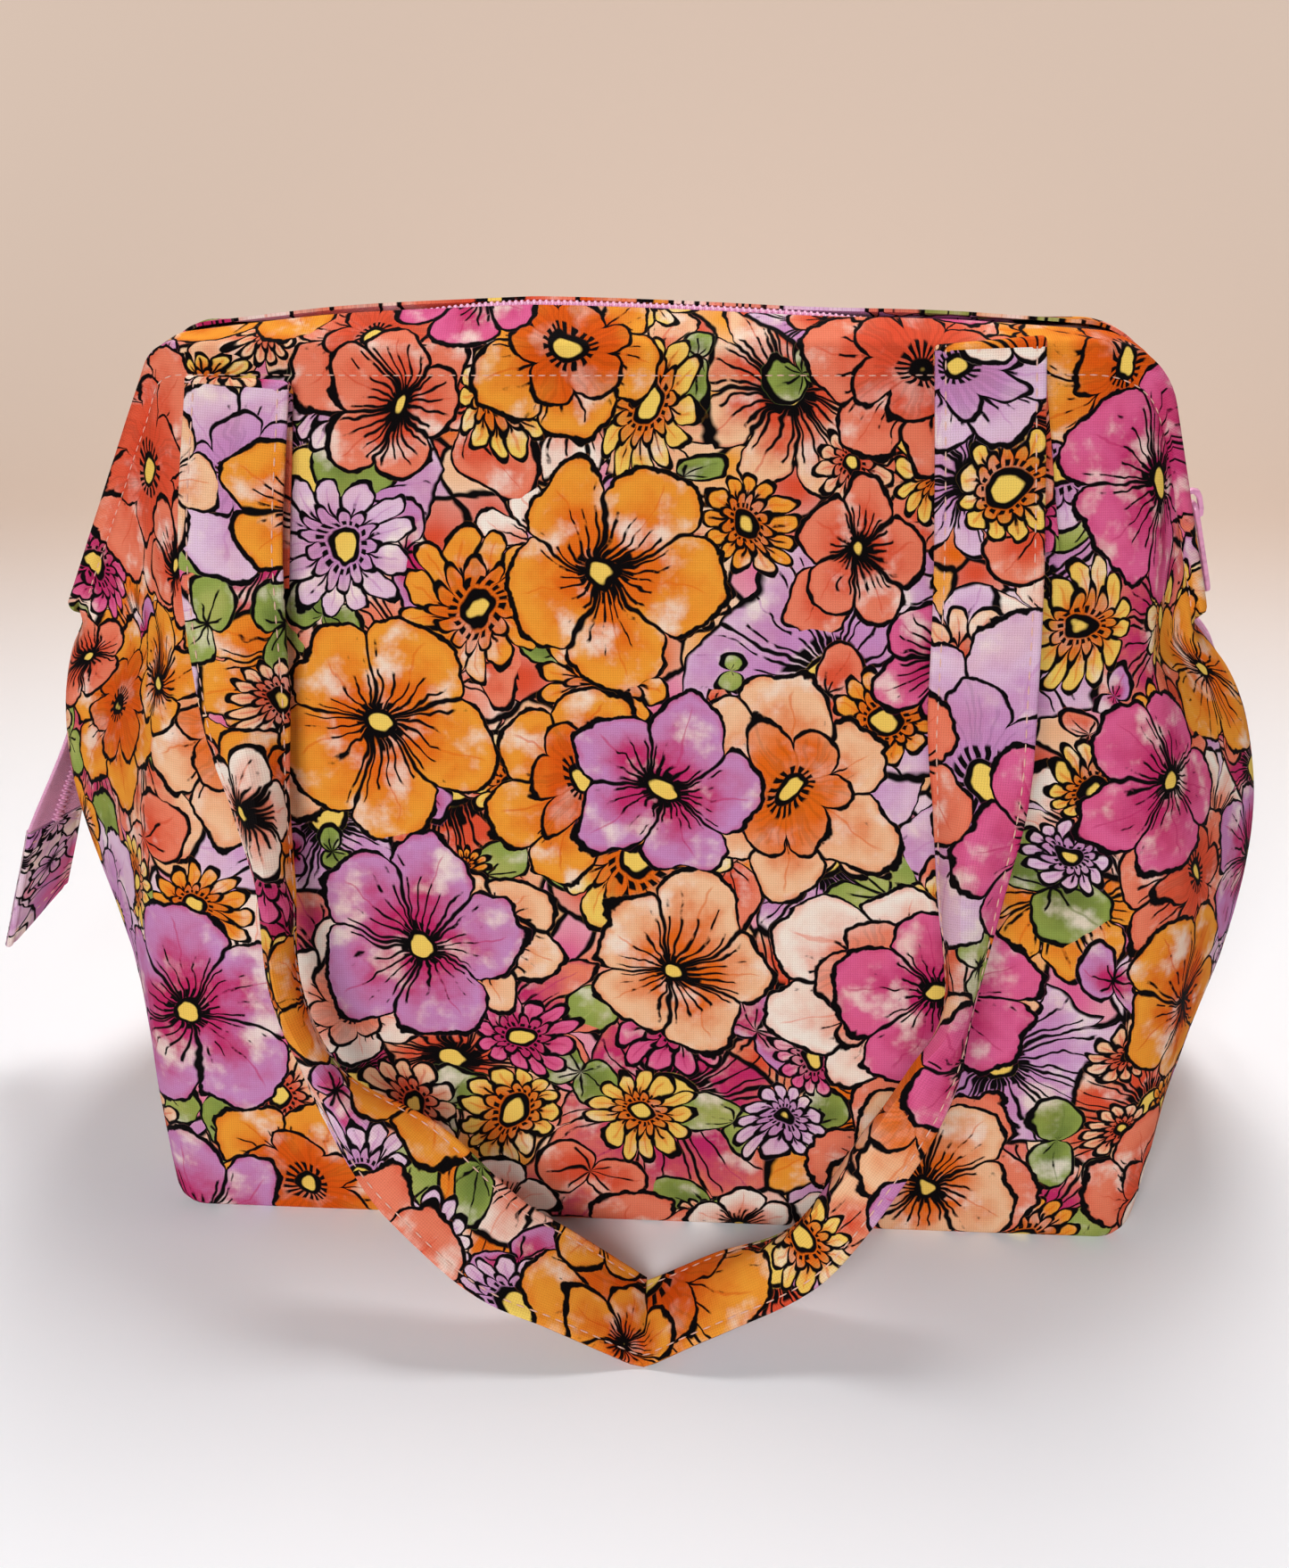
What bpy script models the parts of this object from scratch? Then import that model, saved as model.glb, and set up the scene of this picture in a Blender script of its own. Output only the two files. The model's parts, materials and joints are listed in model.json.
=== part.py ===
"""Zip-top knitting bag with two wire mouth frames and two folded strap handles.

Metres, +Z up. The origin is on the table at the middle of the base; the front panel faces -Y.
"""

import math

import bmesh
import bpy
from mathutils import Matrix, Vector

LEFT = -1
RIGHT = 1
FRONT = -1
BACK = 1
SIDE_NAME = {LEFT: "left", RIGHT: "right"}
FACE_NAME = {FRONT: "front", BACK: "back"}

# Bag body
BASE_LENGTH = 0.264
BASE_DEPTH = 0.152
BASE_CORNER_RADIUS = 0.010
FRONT_BULGE = 0.005
SIDE_BULGE = {LEFT: 0.0235, RIGHT: 0.031}
CORNER_SWELL = 0.35
BULGE_FULLNESS = 0.7

# Cloth layers, from the outside in
CLOTH_THICKNESS = 0.0008
FOAM_THICKNESS = 0.003
LINING_THICKNESS = 0.0006
GAP = 0.0003

# Wire mouth frames
FRAME_HEIGHT = 0.2215
FRAME_HALF_TOP = {LEFT: 0.113, RIGHT: 0.106}
FRAME_BEND_RADIUS = {LEFT: 0.008, RIGHT: 0.018}
LEG_SPLAY = {LEFT: math.radians(27.5), RIGHT: math.radians(17.0)}
WIRE_DIAMETER = 0.0032
FRAME_SPREAD = 0.0125
CASING_CLEARANCE = 0.0007
CREST_ANGLE = math.radians(60.0)

# Zip
ZIP_LEG = {LEFT: 0.079, RIGHT: 0.0625}
ZIP_END_MARGIN = 0.0083
WIRE_END_MARGIN = 0.0105
COIL_HALF_WIDTH = 0.0029
COIL_BELOW_HEM = 0.0008
COIL_ABOVE_HEM = 0.0012
TAPE_SHOWING = 0.0026
TAPE_THICKNESS = 0.0006
TAPE_TUCK = 0.001
RIDGE_RISE = 0.0095
RIDGE_PEAK = -0.028
RIDGE_FALL = 1.4
LEG_RISE = 0.0022
LINING_DROP = 0.0085

# Zip slider and pull, on the right leg
SLIDER_DOWN_LEG = 0.031
SLIDER_LENGTH = 0.0095
SLIDER_WALL = 0.001
SLIDER_CLEARANCE = 0.0004
BRIDGE_WIDTH = 0.002
BRIDGE_BAR = 0.0012
BRIDGE_SPAN = 0.0082
BRIDGE_WINDOW = 0.0023
PULL_WIDTH = 0.0078
PULL_LENGTH = 0.0245
PULL_THICKNESS = 0.0012
PULL_EYE_LENGTH = 0.0058
PULL_EYE_CLEARANCE = 0.0007

# Zip tails and their cloth tabs
TAIL_WIDTH = 0.020
TAIL_THICKNESS = 0.0012
TAIL_GAP = 0.0009
TAIL_PIVOT = 0.0003
TAIL_LIFT = 0.0022
TAB_THICKNESS = 0.0026
TAB_LONG_EDGE = 0.044
TAB_SHORT_EDGE = 0.029

# Strap handles
STRAP_WIDTH = 0.0254
STRAP_THICKNESS = 0.0022
HANDLE_SPACING = 0.177
HANDLE_SHIFT = -0.0085
FOLD_DROP = {LEFT: 0.006, RIGHT: -0.002}
SEWN_LENGTH = 0.046
SEWN_DROP = 0.0015
SEWN_TILT = {LEFT: math.radians(4.0), RIGHT: math.radians(8.0)}
SEWN_SEAT = 0.0004
FOLD_GAP = 0.0006
FLOOR_CLEARANCE = 0.0003

# Places along a handle from the left fold to the right fold: the share of half the spacing, the
# share of the fold height, the stand-off from the panel, the turn of the strap about its run in
# degrees, and the share of its width that is open there
HANDLE_ROUTE = [
    (-1.000, 1.000, None, 0.0, 1.00),
    (-1.028, 0.826, 0.0097, 3.0, 1.00),
    (-1.006, 0.661, 0.0122, 26.0, 1.00),
    (-0.965, 0.569, 0.0162, 50.0, 0.95),
    (-0.916, 0.483, 0.0222, 62.0, 0.82),
    (-0.878, 0.376, 0.0269, 68.0, 0.62),
    (-0.760, 0.279, 0.0297, 55.0, 0.75),
    (-0.531, 0.203, 0.0339, 30.0, 1.00),
    (-0.294, 0.117, 0.0362, 40.0, 1.00),
    (-0.096, 0.046, 0.0349, 58.0, 1.00),
    (0.130, 0.000, 0.0333, 72.0, 1.00),
    (0.345, 0.040, 0.0330, 60.0, 1.00),
    (0.574, 0.102, 0.0325, 46.0, 1.00),
    (0.771, 0.229, 0.0325, 40.0, 0.95),
    (0.890, 0.303, 0.0305, 56.0, 0.75),
    (0.969, 0.371, 0.0280, 68.0, 0.62),
    (0.989, 0.481, 0.0205, 56.0, 0.82),
    (1.011, 0.566, 0.0165, 36.0, 0.95),
    (1.017, 0.647, 0.0120, 12.0, 1.00),
    (1.017, 0.796, 0.0097, 2.0, 1.00),
    (1.000, 1.000, None, 0.0, 1.00),
]
STRAP_STEPS = 2
TAIL_STEPS = 3

# Places along a zip tail, measured from its root, how far its width turns towards the front in
# degrees, and the share of its width that is open there
TAIL_ROUTE = {
    LEFT: [
        ((0.0, 0.0, 0.0), 0.0, 0.42),
        ((-0.0072, 0.0040, -0.0093), 3.0, 0.55),
        ((-0.0108, 0.0085, -0.0223), 6.0, 0.80),
        ((-0.0118, 0.0090, -0.0373), 10.0, 0.95),
        ((-0.0206, -0.0018, -0.0648), 27.0, 1.00),
    ],
    RIGHT: [
        ((0.0, 0.0, 0.0), 0.0, 0.42),
        ((0.0116, 0.0060, -0.0077), -3.0, 0.50),
        ((0.0164, 0.0130, -0.0194), -7.0, 0.75),
        ((0.0207, 0.0170, -0.0344), -10.0, 0.95),
        ((0.0229, 0.0210, -0.0494), -13.0, 1.00),
        ((0.0232, 0.0235, -0.0624), -14.0, 1.00),
    ],
}
TAB_RUN = {LEFT: Vector((-0.37, 0.0, -0.93)), RIGHT: Vector((0.0, 0.04, -1.0))}

# How finely the cloth is divided
FRONT_STEPS = 5
BEND_STEPS = 4
LEG_SHARES = [0.25, 0.50, 0.72]
WALL_ROWS = 8

# Sizes that follow from the ones above
CREASE_RADIUS = WIRE_DIAMETER / 2 + CASING_CLEARANCE + CLOTH_THICKNESS
FOLD_HEIGHT = {side: FRAME_HEIGHT - FOLD_DROP[side] for side in (LEFT, RIGHT)}
HEM_HALF = COIL_HALF_WIDTH + TAPE_SHOWING
FOAM_INSET = CLOTH_THICKNESS + GAP
LINING_INSET = FOAM_INSET + FOAM_THICKNESS + GAP
TAPE_INSET = CLOTH_THICKNESS + GAP
SEAM_OFFSET = GAP / 2
HANDLE_STAND_OFF = STRAP_THICKNESS + FOLD_GAP + STRAP_THICKNESS / 2
SLIDER_BASE = LEG_RISE - TAPE_INSET + GAP
SLIDER_CEILING = LEG_RISE + COIL_ABOVE_HEM + SLIDER_CLEARANCE
SLIDER_TOP = SLIDER_CEILING + SLIDER_WALL
PULL_AXIS_RISE = SLIDER_TOP + BRIDGE_WINDOW / 2

PARTS_NAME = "knitting_bag"
CUTTERS_NAME = "cutters"


def clear_scene():
    """Remove every object, so that the script can be run again in the same file."""
    for item in list(bpy.data.objects):
        bpy.data.objects.remove(item, do_unlink=True)


def collection(name):
    """Return the named collection, made under the scene if it is missing."""
    found = bpy.data.collections.get(name)
    if found is None:
        found = bpy.data.collections.new(name)
        bpy.context.scene.collection.children.link(found)
    return found


def material(name, colour, roughness, metallic=0.0):
    """Return a Principled material of one colour."""
    made = bpy.data.materials.new(name)
    made.use_nodes = True
    shader = made.node_tree.nodes["Principled BSDF"]
    shader.inputs["Base Color"].default_value = (*colour, 1.0)
    shader.inputs["Roughness"].default_value = roughness
    shader.inputs["Metallic"].default_value = metallic
    return made


def add_object(name, data, finish, group=PARTS_NAME):
    """Link a mesh or curve as a named object with its own material."""
    made = bpy.data.objects.new(name, data)
    if finish is not None:
        data.materials.append(material(name, *finish))
    collection(group).objects.link(made)
    return made


PRINT_CLOTH = ((0.80, 0.38, 0.20), 0.85)
FOAM_CLOTH = ((0.90, 0.90, 0.88), 0.95)
LINING_CLOTH = ((0.85, 0.62, 0.66), 0.85)
STEEL_WIRE = ((0.60, 0.60, 0.62), 0.30, 1.0)
PINK_TAPE = ((0.87, 0.52, 0.70), 0.80)
PINK_NYLON = ((0.90, 0.58, 0.75), 0.40)
PINK_ENAMEL = ((0.90, 0.56, 0.72), 0.30)


def mix(start, end, share):
    """Return the value a share of the way from start to end."""
    return start + (end - start) * share


def bulge_profile(share):
    """Return how far a side has swelled at a share of its height, 0 at both edges."""
    return max(0.0, 4.0 * share * (1.0 - share)) ** BULGE_FULLNESS


def arch_stations(side):
    """List the stations of one half of the mouth from the middle to the foot of the bend."""
    stations = [(side, "top", step / FRONT_STEPS) for step in range(FRONT_STEPS + 1)]
    return stations + [(side, "bend", (step + 1) / BEND_STEPS) for step in range(BEND_STEPS)]


def half_stations(side):
    """List the stations of one half of the mouth from the middle to the side seam."""
    zip_end = 1.0 - ZIP_END_MARGIN / ZIP_LEG[side]
    return arch_stations(side) + [(side, "leg", share) for share in LEG_SHARES + [zip_end, 1.0]]


def full_stations():
    """List side, zone and share from the left seam, over the top, to the right seam."""
    return list(reversed(half_stations(LEFT))) + half_stations(RIGHT)[1:]


def frame_place(side, zone, share):
    """Return the frame's point in the XZ plane and its outward normal there."""
    splay = LEG_SPLAY[side]
    bend_x = FRAME_HALF_TOP[side]
    radius = FRAME_BEND_RADIUS[side]
    bend_z = FRAME_HEIGHT - radius
    if zone == "top":
        return Vector((side * share * bend_x, 0, FRAME_HEIGHT)), Vector((0, 0, 1))
    angle = mix(math.pi / 2, splay, share if zone == "bend" else 1.0)
    normal = Vector((math.cos(angle), 0, math.sin(angle)))
    point = Vector((bend_x, 0, bend_z)) + normal * radius
    if zone == "leg":
        point += Vector((math.sin(splay), 0, -math.cos(splay))) * ZIP_LEG[side] * share
    return Vector((side * point.x, 0, point.z)), Vector((side * normal.x, 0, normal.z))


def base_place(side, zone, share):
    """Return the front half of the base outline at one station."""
    straight_x = BASE_LENGTH / 2 - BASE_CORNER_RADIUS
    straight_y = BASE_DEPTH / 2 - BASE_CORNER_RADIUS
    if zone == "top":
        return Vector((side * share * straight_x, -BASE_DEPTH / 2, 0))
    if zone == "leg":
        return Vector((side * BASE_LENGTH / 2, -straight_y * (1.0 - share), 0))
    angle = mix(-math.pi / 2, 0.0, share)
    x = straight_x + BASE_CORNER_RADIUS * math.cos(angle)
    y = -straight_y + BASE_CORNER_RADIUS * math.sin(angle)
    return Vector((side * x, y, 0))


def mouth_open(zone, share):
    """Return 1 along the zip and 0 where the two panels meet at its end."""
    return 0.0 if zone == "leg" and share >= 1.0 else 1.0


def hem_rise(side, zone, share):
    """Return how far the zip hem stands above the wire: an arch with its peak off the middle."""
    if zone != "top":
        return LEG_RISE
    x = side * share * FRAME_HALF_TOP[side]
    half = LEFT if x < RIDGE_PEAK else RIGHT
    fall = (x - RIDGE_PEAK) / (half * FRAME_HALF_TOP[half] - RIDGE_PEAK)
    return mix(RIDGE_RISE, LEG_RISE, fall ** RIDGE_FALL)


def side_swell(zone, share):
    """Return how much of the side's swelling a station takes: none in front, all at the seam."""
    if zone == "leg":
        return mix(CORNER_SWELL, 1.0, math.sin(share * math.pi / 2))
    return CORNER_SWELL * share if zone == "bend" else 0.0


def wall_place(side, zone, share, height_share):
    """Return a point of the front panel between the base edge and the wire's shoulder."""
    foot = base_place(side, zone, share)
    head = frame_place(side, zone, share)[0]
    head.y = -(FRAME_SPREAD + CREASE_RADIUS) * mouth_open(zone, share)
    point = foot.lerp(head, height_share)
    if zone == "top":
        point.y -= FRONT_BULGE * bulge_profile(height_share) * (1.0 - share * share)
    zip_end_height = frame_place(side, "leg", 1.0)[0].z
    swell = bulge_profile(min(1.0, point.z / zip_end_height))
    point.x += side * SIDE_BULGE[side] * swell * side_swell(zone, share)
    return point


def face_depth(x, z):
    """Return how far the front panel stands from the middle plane at a place on its face."""
    side = LEFT if x < 0 else RIGHT
    share = min(1.0, abs(x) / FRAME_HALF_TOP[side])
    height_share = min(1.0, max(0.0, z / FRAME_HEIGHT))
    return -wall_place(side, "top", share, height_share).y


def panel_columns():
    """Return the front panel's points, one column for each station, base edge first."""
    columns = []
    for side, zone, share in full_stations():
        column = [wall_place(side, zone, share, row / WALL_ROWS) for row in range(WALL_ROWS + 1)]
        place, normal = frame_place(side, zone, share)
        gape = mouth_open(zone, share)
        crest = place + normal * CREASE_RADIUS * math.sin(CREST_ANGLE)
        crest.y = -(FRAME_SPREAD + CREASE_RADIUS * math.cos(CREST_ANGLE)) * gape
        hem = place + normal * hem_rise(side, zone, share)
        hem.y = -HEM_HALF * gape
        columns.append(column + [crest, hem])
    return columns


def mirrored(point, face):
    """Return a front point, or its image on the back of the bag."""
    return Vector((point.x, -face * point.y, point.z))


def inset_columns(columns):
    """Return the inward step of every panel point for a unit of cloth depth.

    The step comes from the whole closed surface, front and back together, so that the layers
    keep their distances round the corners and meet square at the side seams.
    """
    last = len(columns) - 1
    rows = len(columns[0])
    mesh = bmesh.new()
    front = [[mesh.verts.new(point) for point in column] for column in columns]
    back = [[mesh.verts.new(mirrored(point, BACK)) for point in column] for column in columns[1:last]]
    back = [front[0]] + back + [front[last]]
    for step in range(last):
        for row in range(rows - 1):
            here, there = front[step], front[step + 1]
            mesh.faces.new((here[row], there[row], there[row + 1], here[row + 1]))
            here, there = back[step], back[step + 1]
            mesh.faces.new((there[row], here[row], here[row + 1], there[row + 1]))
    outline = [column[0] for column in front] + [column[0] for column in reversed(back[1:last])]
    mesh.faces.new(list(reversed(outline)))
    mesh.normal_update()
    steps = [[vert.normal * -vert.calc_shell_factor() for vert in column] for column in front]
    mesh.free()
    return steps


def closed_mesh(name, build):
    """Fill a mesh with one closed body, its faces turned outwards."""
    mesh = bmesh.new()
    build(mesh)
    bmesh.ops.recalc_face_normals(mesh, faces=mesh.faces[:])
    data = bpy.data.meshes.new(name)
    mesh.to_mesh(data)
    mesh.free()
    return data


def skin_mesh(name, face, outer, inner):
    """Return a panel layer: two like grids of points joined round their edges.

    The layer takes in half of the base. Each cell is two triangles with the same diagonal in
    every layer, so that neighbouring layers stay parallel.
    """
    last = len(outer) - 1
    rows = len(outer[0])

    def seam_side(point, step):
        moved = point.copy()
        moved.y = -SEAM_OFFSET if step in (0, last) else min(point.y, -SEAM_OFFSET)
        return mirrored(moved, face)

    def build(mesh):
        sheets = []
        for grid in (outer, inner):
            sheet = [[mesh.verts.new(seam_side(point, step)) for point in column]
                     for step, column in enumerate(grid)]
            for step in range(last):
                for row in range(rows - 1):
                    low, high = sheet[step], sheet[step + 1]
                    mesh.faces.new((low[row], high[row], high[row + 1]))
                    mesh.faces.new((low[row], high[row + 1], low[row + 1]))
            mesh.faces.new([column[0] for column in sheet])
            sheets.append(sheet)
        outside, inside = sheets
        for step in (0, last):
            for row in range(rows - 1):
                low, high = outside[step], inside[step]
                mesh.faces.new((low[row], low[row + 1], high[row + 1], high[row]))
        for step in range(last):
            low, high = outside[step][-1], outside[step + 1][-1]
            mesh.faces.new((low, high, inside[step + 1][-1], inside[step][-1]))
        mesh.faces.new((outside[0][0], outside[last][0], inside[last][0], inside[0][0]))

    return closed_mesh(name, build)


def shifted(columns, steps, depth, rows):
    """Return the first rows of a panel's points, moved inwards by a cloth depth."""
    return [[point + step * depth for point, step in zip(column[:rows], inward[:rows])]
            for column, inward in zip(columns, steps)]


def lining_hem(depth):
    """Return the lining's top edge, folded back under the zip tape."""
    points = []
    for side, zone, share in full_stations():
        place, normal = frame_place(side, zone, share)
        gape = mouth_open(zone, share)
        point = place + normal * (hem_rise(side, zone, share) - LINING_DROP - depth * (1.0 - gape))
        point.y = (depth - HEM_HALF) * gape
        points.append(point)
    return points


def make_panels():
    """Make the outer cloth, the foam and the lining of both panels."""
    columns = panel_columns()
    steps = inset_columns(columns)
    all_rows = len(columns[0])
    layers = [
        ("outer", 0.0, CLOTH_THICKNESS, all_rows, PRINT_CLOTH),
        ("foam", FOAM_INSET, FOAM_THICKNESS, WALL_ROWS, FOAM_CLOTH),
        ("lining", LINING_INSET, LINING_THICKNESS, WALL_ROWS, LINING_CLOTH),
    ]
    for layer, depth, thickness, rows, finish in layers:
        outer = shifted(columns, steps, depth, rows)
        inner = shifted(columns, steps, depth + thickness, rows)
        if layer == "lining":
            for column, point in zip(outer, lining_hem(0.0)):
                column.append(point)
            for column, point in zip(inner, lining_hem(thickness)):
                column.append(point)
        for face in (FRONT, BACK):
            name = f"{layer}_{FACE_NAME[face]}"
            add_object(name, skin_mesh(name, face, outer, inner), finish)


def make_wires():
    """Make the two bent wires that hold the mouth in shape."""
    left, right = (arch_stations(side) + [(side, "leg", 1.0 - WIRE_END_MARGIN / ZIP_LEG[side])]
                   for side in (LEFT, RIGHT))
    route = list(reversed(left)) + right[1:]
    for face in (FRONT, BACK):
        name = f"wire_frame_{FACE_NAME[face]}"
        curve = bpy.data.curves.new(name, "CURVE")
        curve.dimensions = "3D"
        curve.bevel_depth = WIRE_DIAMETER / 2
        curve.bevel_resolution = 2
        curve.use_fill_caps = True
        spline = curve.splines.new("POLY")
        spline.points.add(len(route) - 1)
        for target, station in zip(spline.points, route):
            place = frame_place(*station)[0]
            target.co = (place.x, face * FRAME_SPREAD, place.z, 1.0)
        add_object(name, curve, STEEL_WIRE)


def swept_mesh(name, sections):
    """Join closed sections of equal point counts into one capped body."""

    def build(mesh):
        rings = [[mesh.verts.new(point) for point in section] for section in sections]
        count = len(rings[0])
        for low, high in zip(rings, rings[1:]):
            for corner in range(count):
                turn = (corner + 1) % count
                mesh.faces.new((low[corner], low[turn], high[turn], high[corner]))
        mesh.faces.new(rings[0])
        mesh.faces.new(rings[-1])

    return closed_mesh(name, build)


def zip_stations():
    """List the stations that the zip runs along, without the two closed ends."""
    return [station for station in full_stations() if mouth_open(station[1], station[2])]


def zip_section(station, face, profile):
    """Place a profile of side and rise values across the zip at one station."""
    place, normal = frame_place(*station)
    section = []
    for across, rise in profile:
        point = place + normal * rise
        point.y = face * across
        section.append(point)
    return section


def tape_profile(station):
    """Return half a zip tape's profile: flat by the coil, then tucked under the cloth hem."""
    rise = hem_rise(*station)
    crest_out = FRAME_SPREAD + CREASE_RADIUS * math.cos(CREST_ANGLE) - HEM_HALF
    crest_down = rise - CREASE_RADIUS * math.sin(CREST_ANGLE)
    slope = math.atan2(crest_down, crest_out)

    def line(depth):
        inner = (GAP, rise - depth)
        turn = (HEM_HALF - depth * math.tan(slope / 2), rise - depth)
        end_out = HEM_HALF - depth * math.sin(slope) + TAPE_TUCK * math.cos(slope)
        end_rise = rise - depth * math.cos(slope) - TAPE_TUCK * math.sin(slope)
        return [inner, turn, (end_out, end_rise)]

    return line(TAPE_INSET) + list(reversed(line(TAPE_INSET + TAPE_THICKNESS)))


def coil_profile(station):
    """Return half the closed zip chain's profile."""
    rise = hem_rise(*station)
    low = rise - COIL_BELOW_HEM
    high = rise + COIL_ABOVE_HEM
    return [(SEAM_OFFSET, low), (COIL_HALF_WIDTH, low), (COIL_HALF_WIDTH, high), (SEAM_OFFSET, high)]


def make_zip():
    """Make the tape and the coil of both halves of the closed zip."""
    kinds = [("zip_tape", tape_profile, PINK_TAPE), ("zip_coil", coil_profile, PINK_NYLON)]
    for kind, profile, finish in kinds:
        for face in (FRONT, BACK):
            name = f"{kind}_{FACE_NAME[face]}"
            sections = [zip_section(station, face, profile(station)) for station in zip_stations()]
            add_object(name, swept_mesh(name, sections), finish)


def slider_seat():
    """Return the slider's frame: X up the right leg, Z away from the bag."""
    share = SLIDER_DOWN_LEG / ZIP_LEG[RIGHT]
    place, normal = frame_place(RIGHT, "leg", share)
    splay = LEG_SPLAY[RIGHT]
    up_leg = Vector((-math.sin(splay), 0, math.cos(splay)))
    across = normal.cross(up_leg)
    turn = Matrix((up_leg, across, normal)).transposed().to_4x4()
    return Matrix.Translation(place) @ turn


def box_object(name, size, centre, group):
    """Add a box of a given size and centre."""
    data = bpy.data.meshes.new(name)
    mesh = bmesh.new()
    bmesh.ops.create_cube(mesh, size=1.0)
    bmesh.ops.scale(mesh, vec=Vector(size), verts=mesh.verts)
    bmesh.ops.translate(mesh, vec=Vector(centre), verts=mesh.verts)
    mesh.to_mesh(data)
    mesh.free()
    return add_object(name, data, None, group)


def combine(target, operation, tool):
    """Join a tool box to the target, or cut it away."""
    tool.hide_render = True
    tool.display_type = "WIRE"
    step = target.modifiers.new(tool.name, "BOOLEAN")
    step.operation = operation
    step.object = tool
    tool.parent = target


def make_slider():
    """Make the slider that straddles the coil, with its bridge, and the pull on the bridge."""
    inner_half = COIL_HALF_WIDTH + SLIDER_CLEARANCE
    width = 2 * (inner_half + SLIDER_WALL)
    height = SLIDER_TOP - SLIDER_BASE
    body = box_object("slider_body", (SLIDER_LENGTH, width, height),
                      (0, 0, SLIDER_BASE + height / 2), PARTS_NAME)
    body.data.materials.append(material("slider_body", *PINK_ENAMEL))
    channel_height = SLIDER_CEILING - SLIDER_BASE
    channel = box_object("slider_channel", (2 * SLIDER_LENGTH, 2 * inner_half, 2 * channel_height),
                         (0, 0, SLIDER_BASE), CUTTERS_NAME)
    bridge_height = BRIDGE_WINDOW + BRIDGE_BAR
    root = SLIDER_WALL / 2
    bridge = box_object("slider_bridge", (BRIDGE_SPAN, BRIDGE_WIDTH, bridge_height + root),
                        (0, 0, SLIDER_TOP + (bridge_height - root) / 2), CUTTERS_NAME)
    window = box_object("slider_window", (BRIDGE_SPAN - 2 * BRIDGE_BAR, 2 * BRIDGE_WIDTH, BRIDGE_WINDOW),
                        (0, 0, SLIDER_TOP + BRIDGE_WINDOW / 2), CUTTERS_NAME)
    combine(body, "DIFFERENCE", channel)
    combine(body, "UNION", bridge)
    combine(body, "DIFFERENCE", window)
    body.matrix_world = slider_seat()

    axis = Vector((0, 0, PULL_AXIS_RISE))
    pull = box_object("slider_pull", (PULL_LENGTH, PULL_WIDTH, PULL_THICKNESS),
                      (PULL_THICKNESS / 2 - PULL_LENGTH / 2, 0, 0), PARTS_NAME)
    pull.data.materials.append(material("slider_pull", *PINK_ENAMEL))
    eye_width = BRIDGE_WIDTH + 2 * PULL_EYE_CLEARANCE
    eye = box_object("pull_eye", (PULL_EYE_LENGTH, eye_width, 2 * PULL_THICKNESS),
                     (-PULL_THICKNESS / 2 - PULL_EYE_LENGTH / 2, 0, 0), CUTTERS_NAME)
    combine(pull, "DIFFERENCE", eye)
    pull.matrix_world = slider_seat() @ Matrix.Translation(axis)


def band_mesh(name, edges, thickness, origin):
    """Return a flat band through pairs of edge points, measured from an origin."""
    middles = [(left + right) / 2 for left, right in edges]
    sections = []
    for step, (left, right) in enumerate(edges):
        run = middles[min(step + 1, len(edges) - 1)] - middles[max(step - 1, 0)]
        normal = (right - left).cross(run).normalized() * (thickness / 2)
        corners = (left + normal, right + normal, right - normal, left - normal)
        sections.append([corner - origin for corner in corners])
    return swept_mesh(name, sections)


def curve_through(values, steps):
    """Read a smooth curve through a list of equal vectors, a few steps between each two."""
    smooth = []
    for index in range(len(values) - 1):
        before = values[max(index - 1, 0)]
        start = values[index]
        end = values[index + 1]
        after = values[min(index + 2, len(values) - 1)]
        for step in range(steps):
            t = step / steps
            smooth.append(0.5 * (2 * start + (end - before) * t
                                 + (2 * before - 5 * start + 4 * end - after) * t ** 2
                                 + (3 * start - before - 3 * end + after) * t ** 3))
    smooth.append(values[-1])
    return smooth


def tail_root(side):
    """Return where a zip tail's band starts, and the line that it turns about."""
    end, normal = frame_place(side, "leg", 1.0)
    down = (end - frame_place(side, "leg", 0.0)[0]).normalized()
    start = end + normal * TAIL_LIFT
    return start + down * TAIL_GAP, start + down * TAIL_PIVOT


def make_tails():
    """Make the free ends of the zip tape and the folded cloth tab on each."""
    for side in (LEFT, RIGHT):
        root, pivot = tail_root(side)
        route = TAIL_ROUTE[side]
        places = curve_through([root + Vector(offset) for offset, turn, share in route], TAIL_STEPS)
        shapes = curve_through([Vector((turn, share, 0)) for offset, turn, share in route], TAIL_STEPS)
        edges = []
        for place, shape in zip(places, shapes):
            angle = math.radians(shape.x)
            across = Vector((math.sin(angle), math.cos(angle), 0)) * (TAIL_WIDTH / 2 * shape.y)
            edges.append((place - across, place + across))
        name = f"zip_tail_{SIDE_NAME[side]}"
        tail = add_object(name, band_mesh(name, edges, TAIL_THICKNESS, pivot), PINK_TAPE)
        tail.location = pivot

        run = TAB_RUN[side].normalized()
        front, back = (point + run * GAP for point in edges[-1])
        tab_edges = [(front, back)]
        for share in (0.5, 1.0):
            tab_edges.append((front + run * TAB_LONG_EDGE * share, back + run * TAB_SHORT_EDGE * share))
        name = f"tab_{SIDE_NAME[side]}"
        tab = add_object(name, band_mesh(name, tab_edges, TAB_THICKNESS, pivot), PRINT_CLOTH)
        tab.location = pivot


def handle_x(share):
    """Return where a share of half the handle spacing lies along the bag."""
    return HANDLE_SHIFT + share * HANDLE_SPACING / 2


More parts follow.
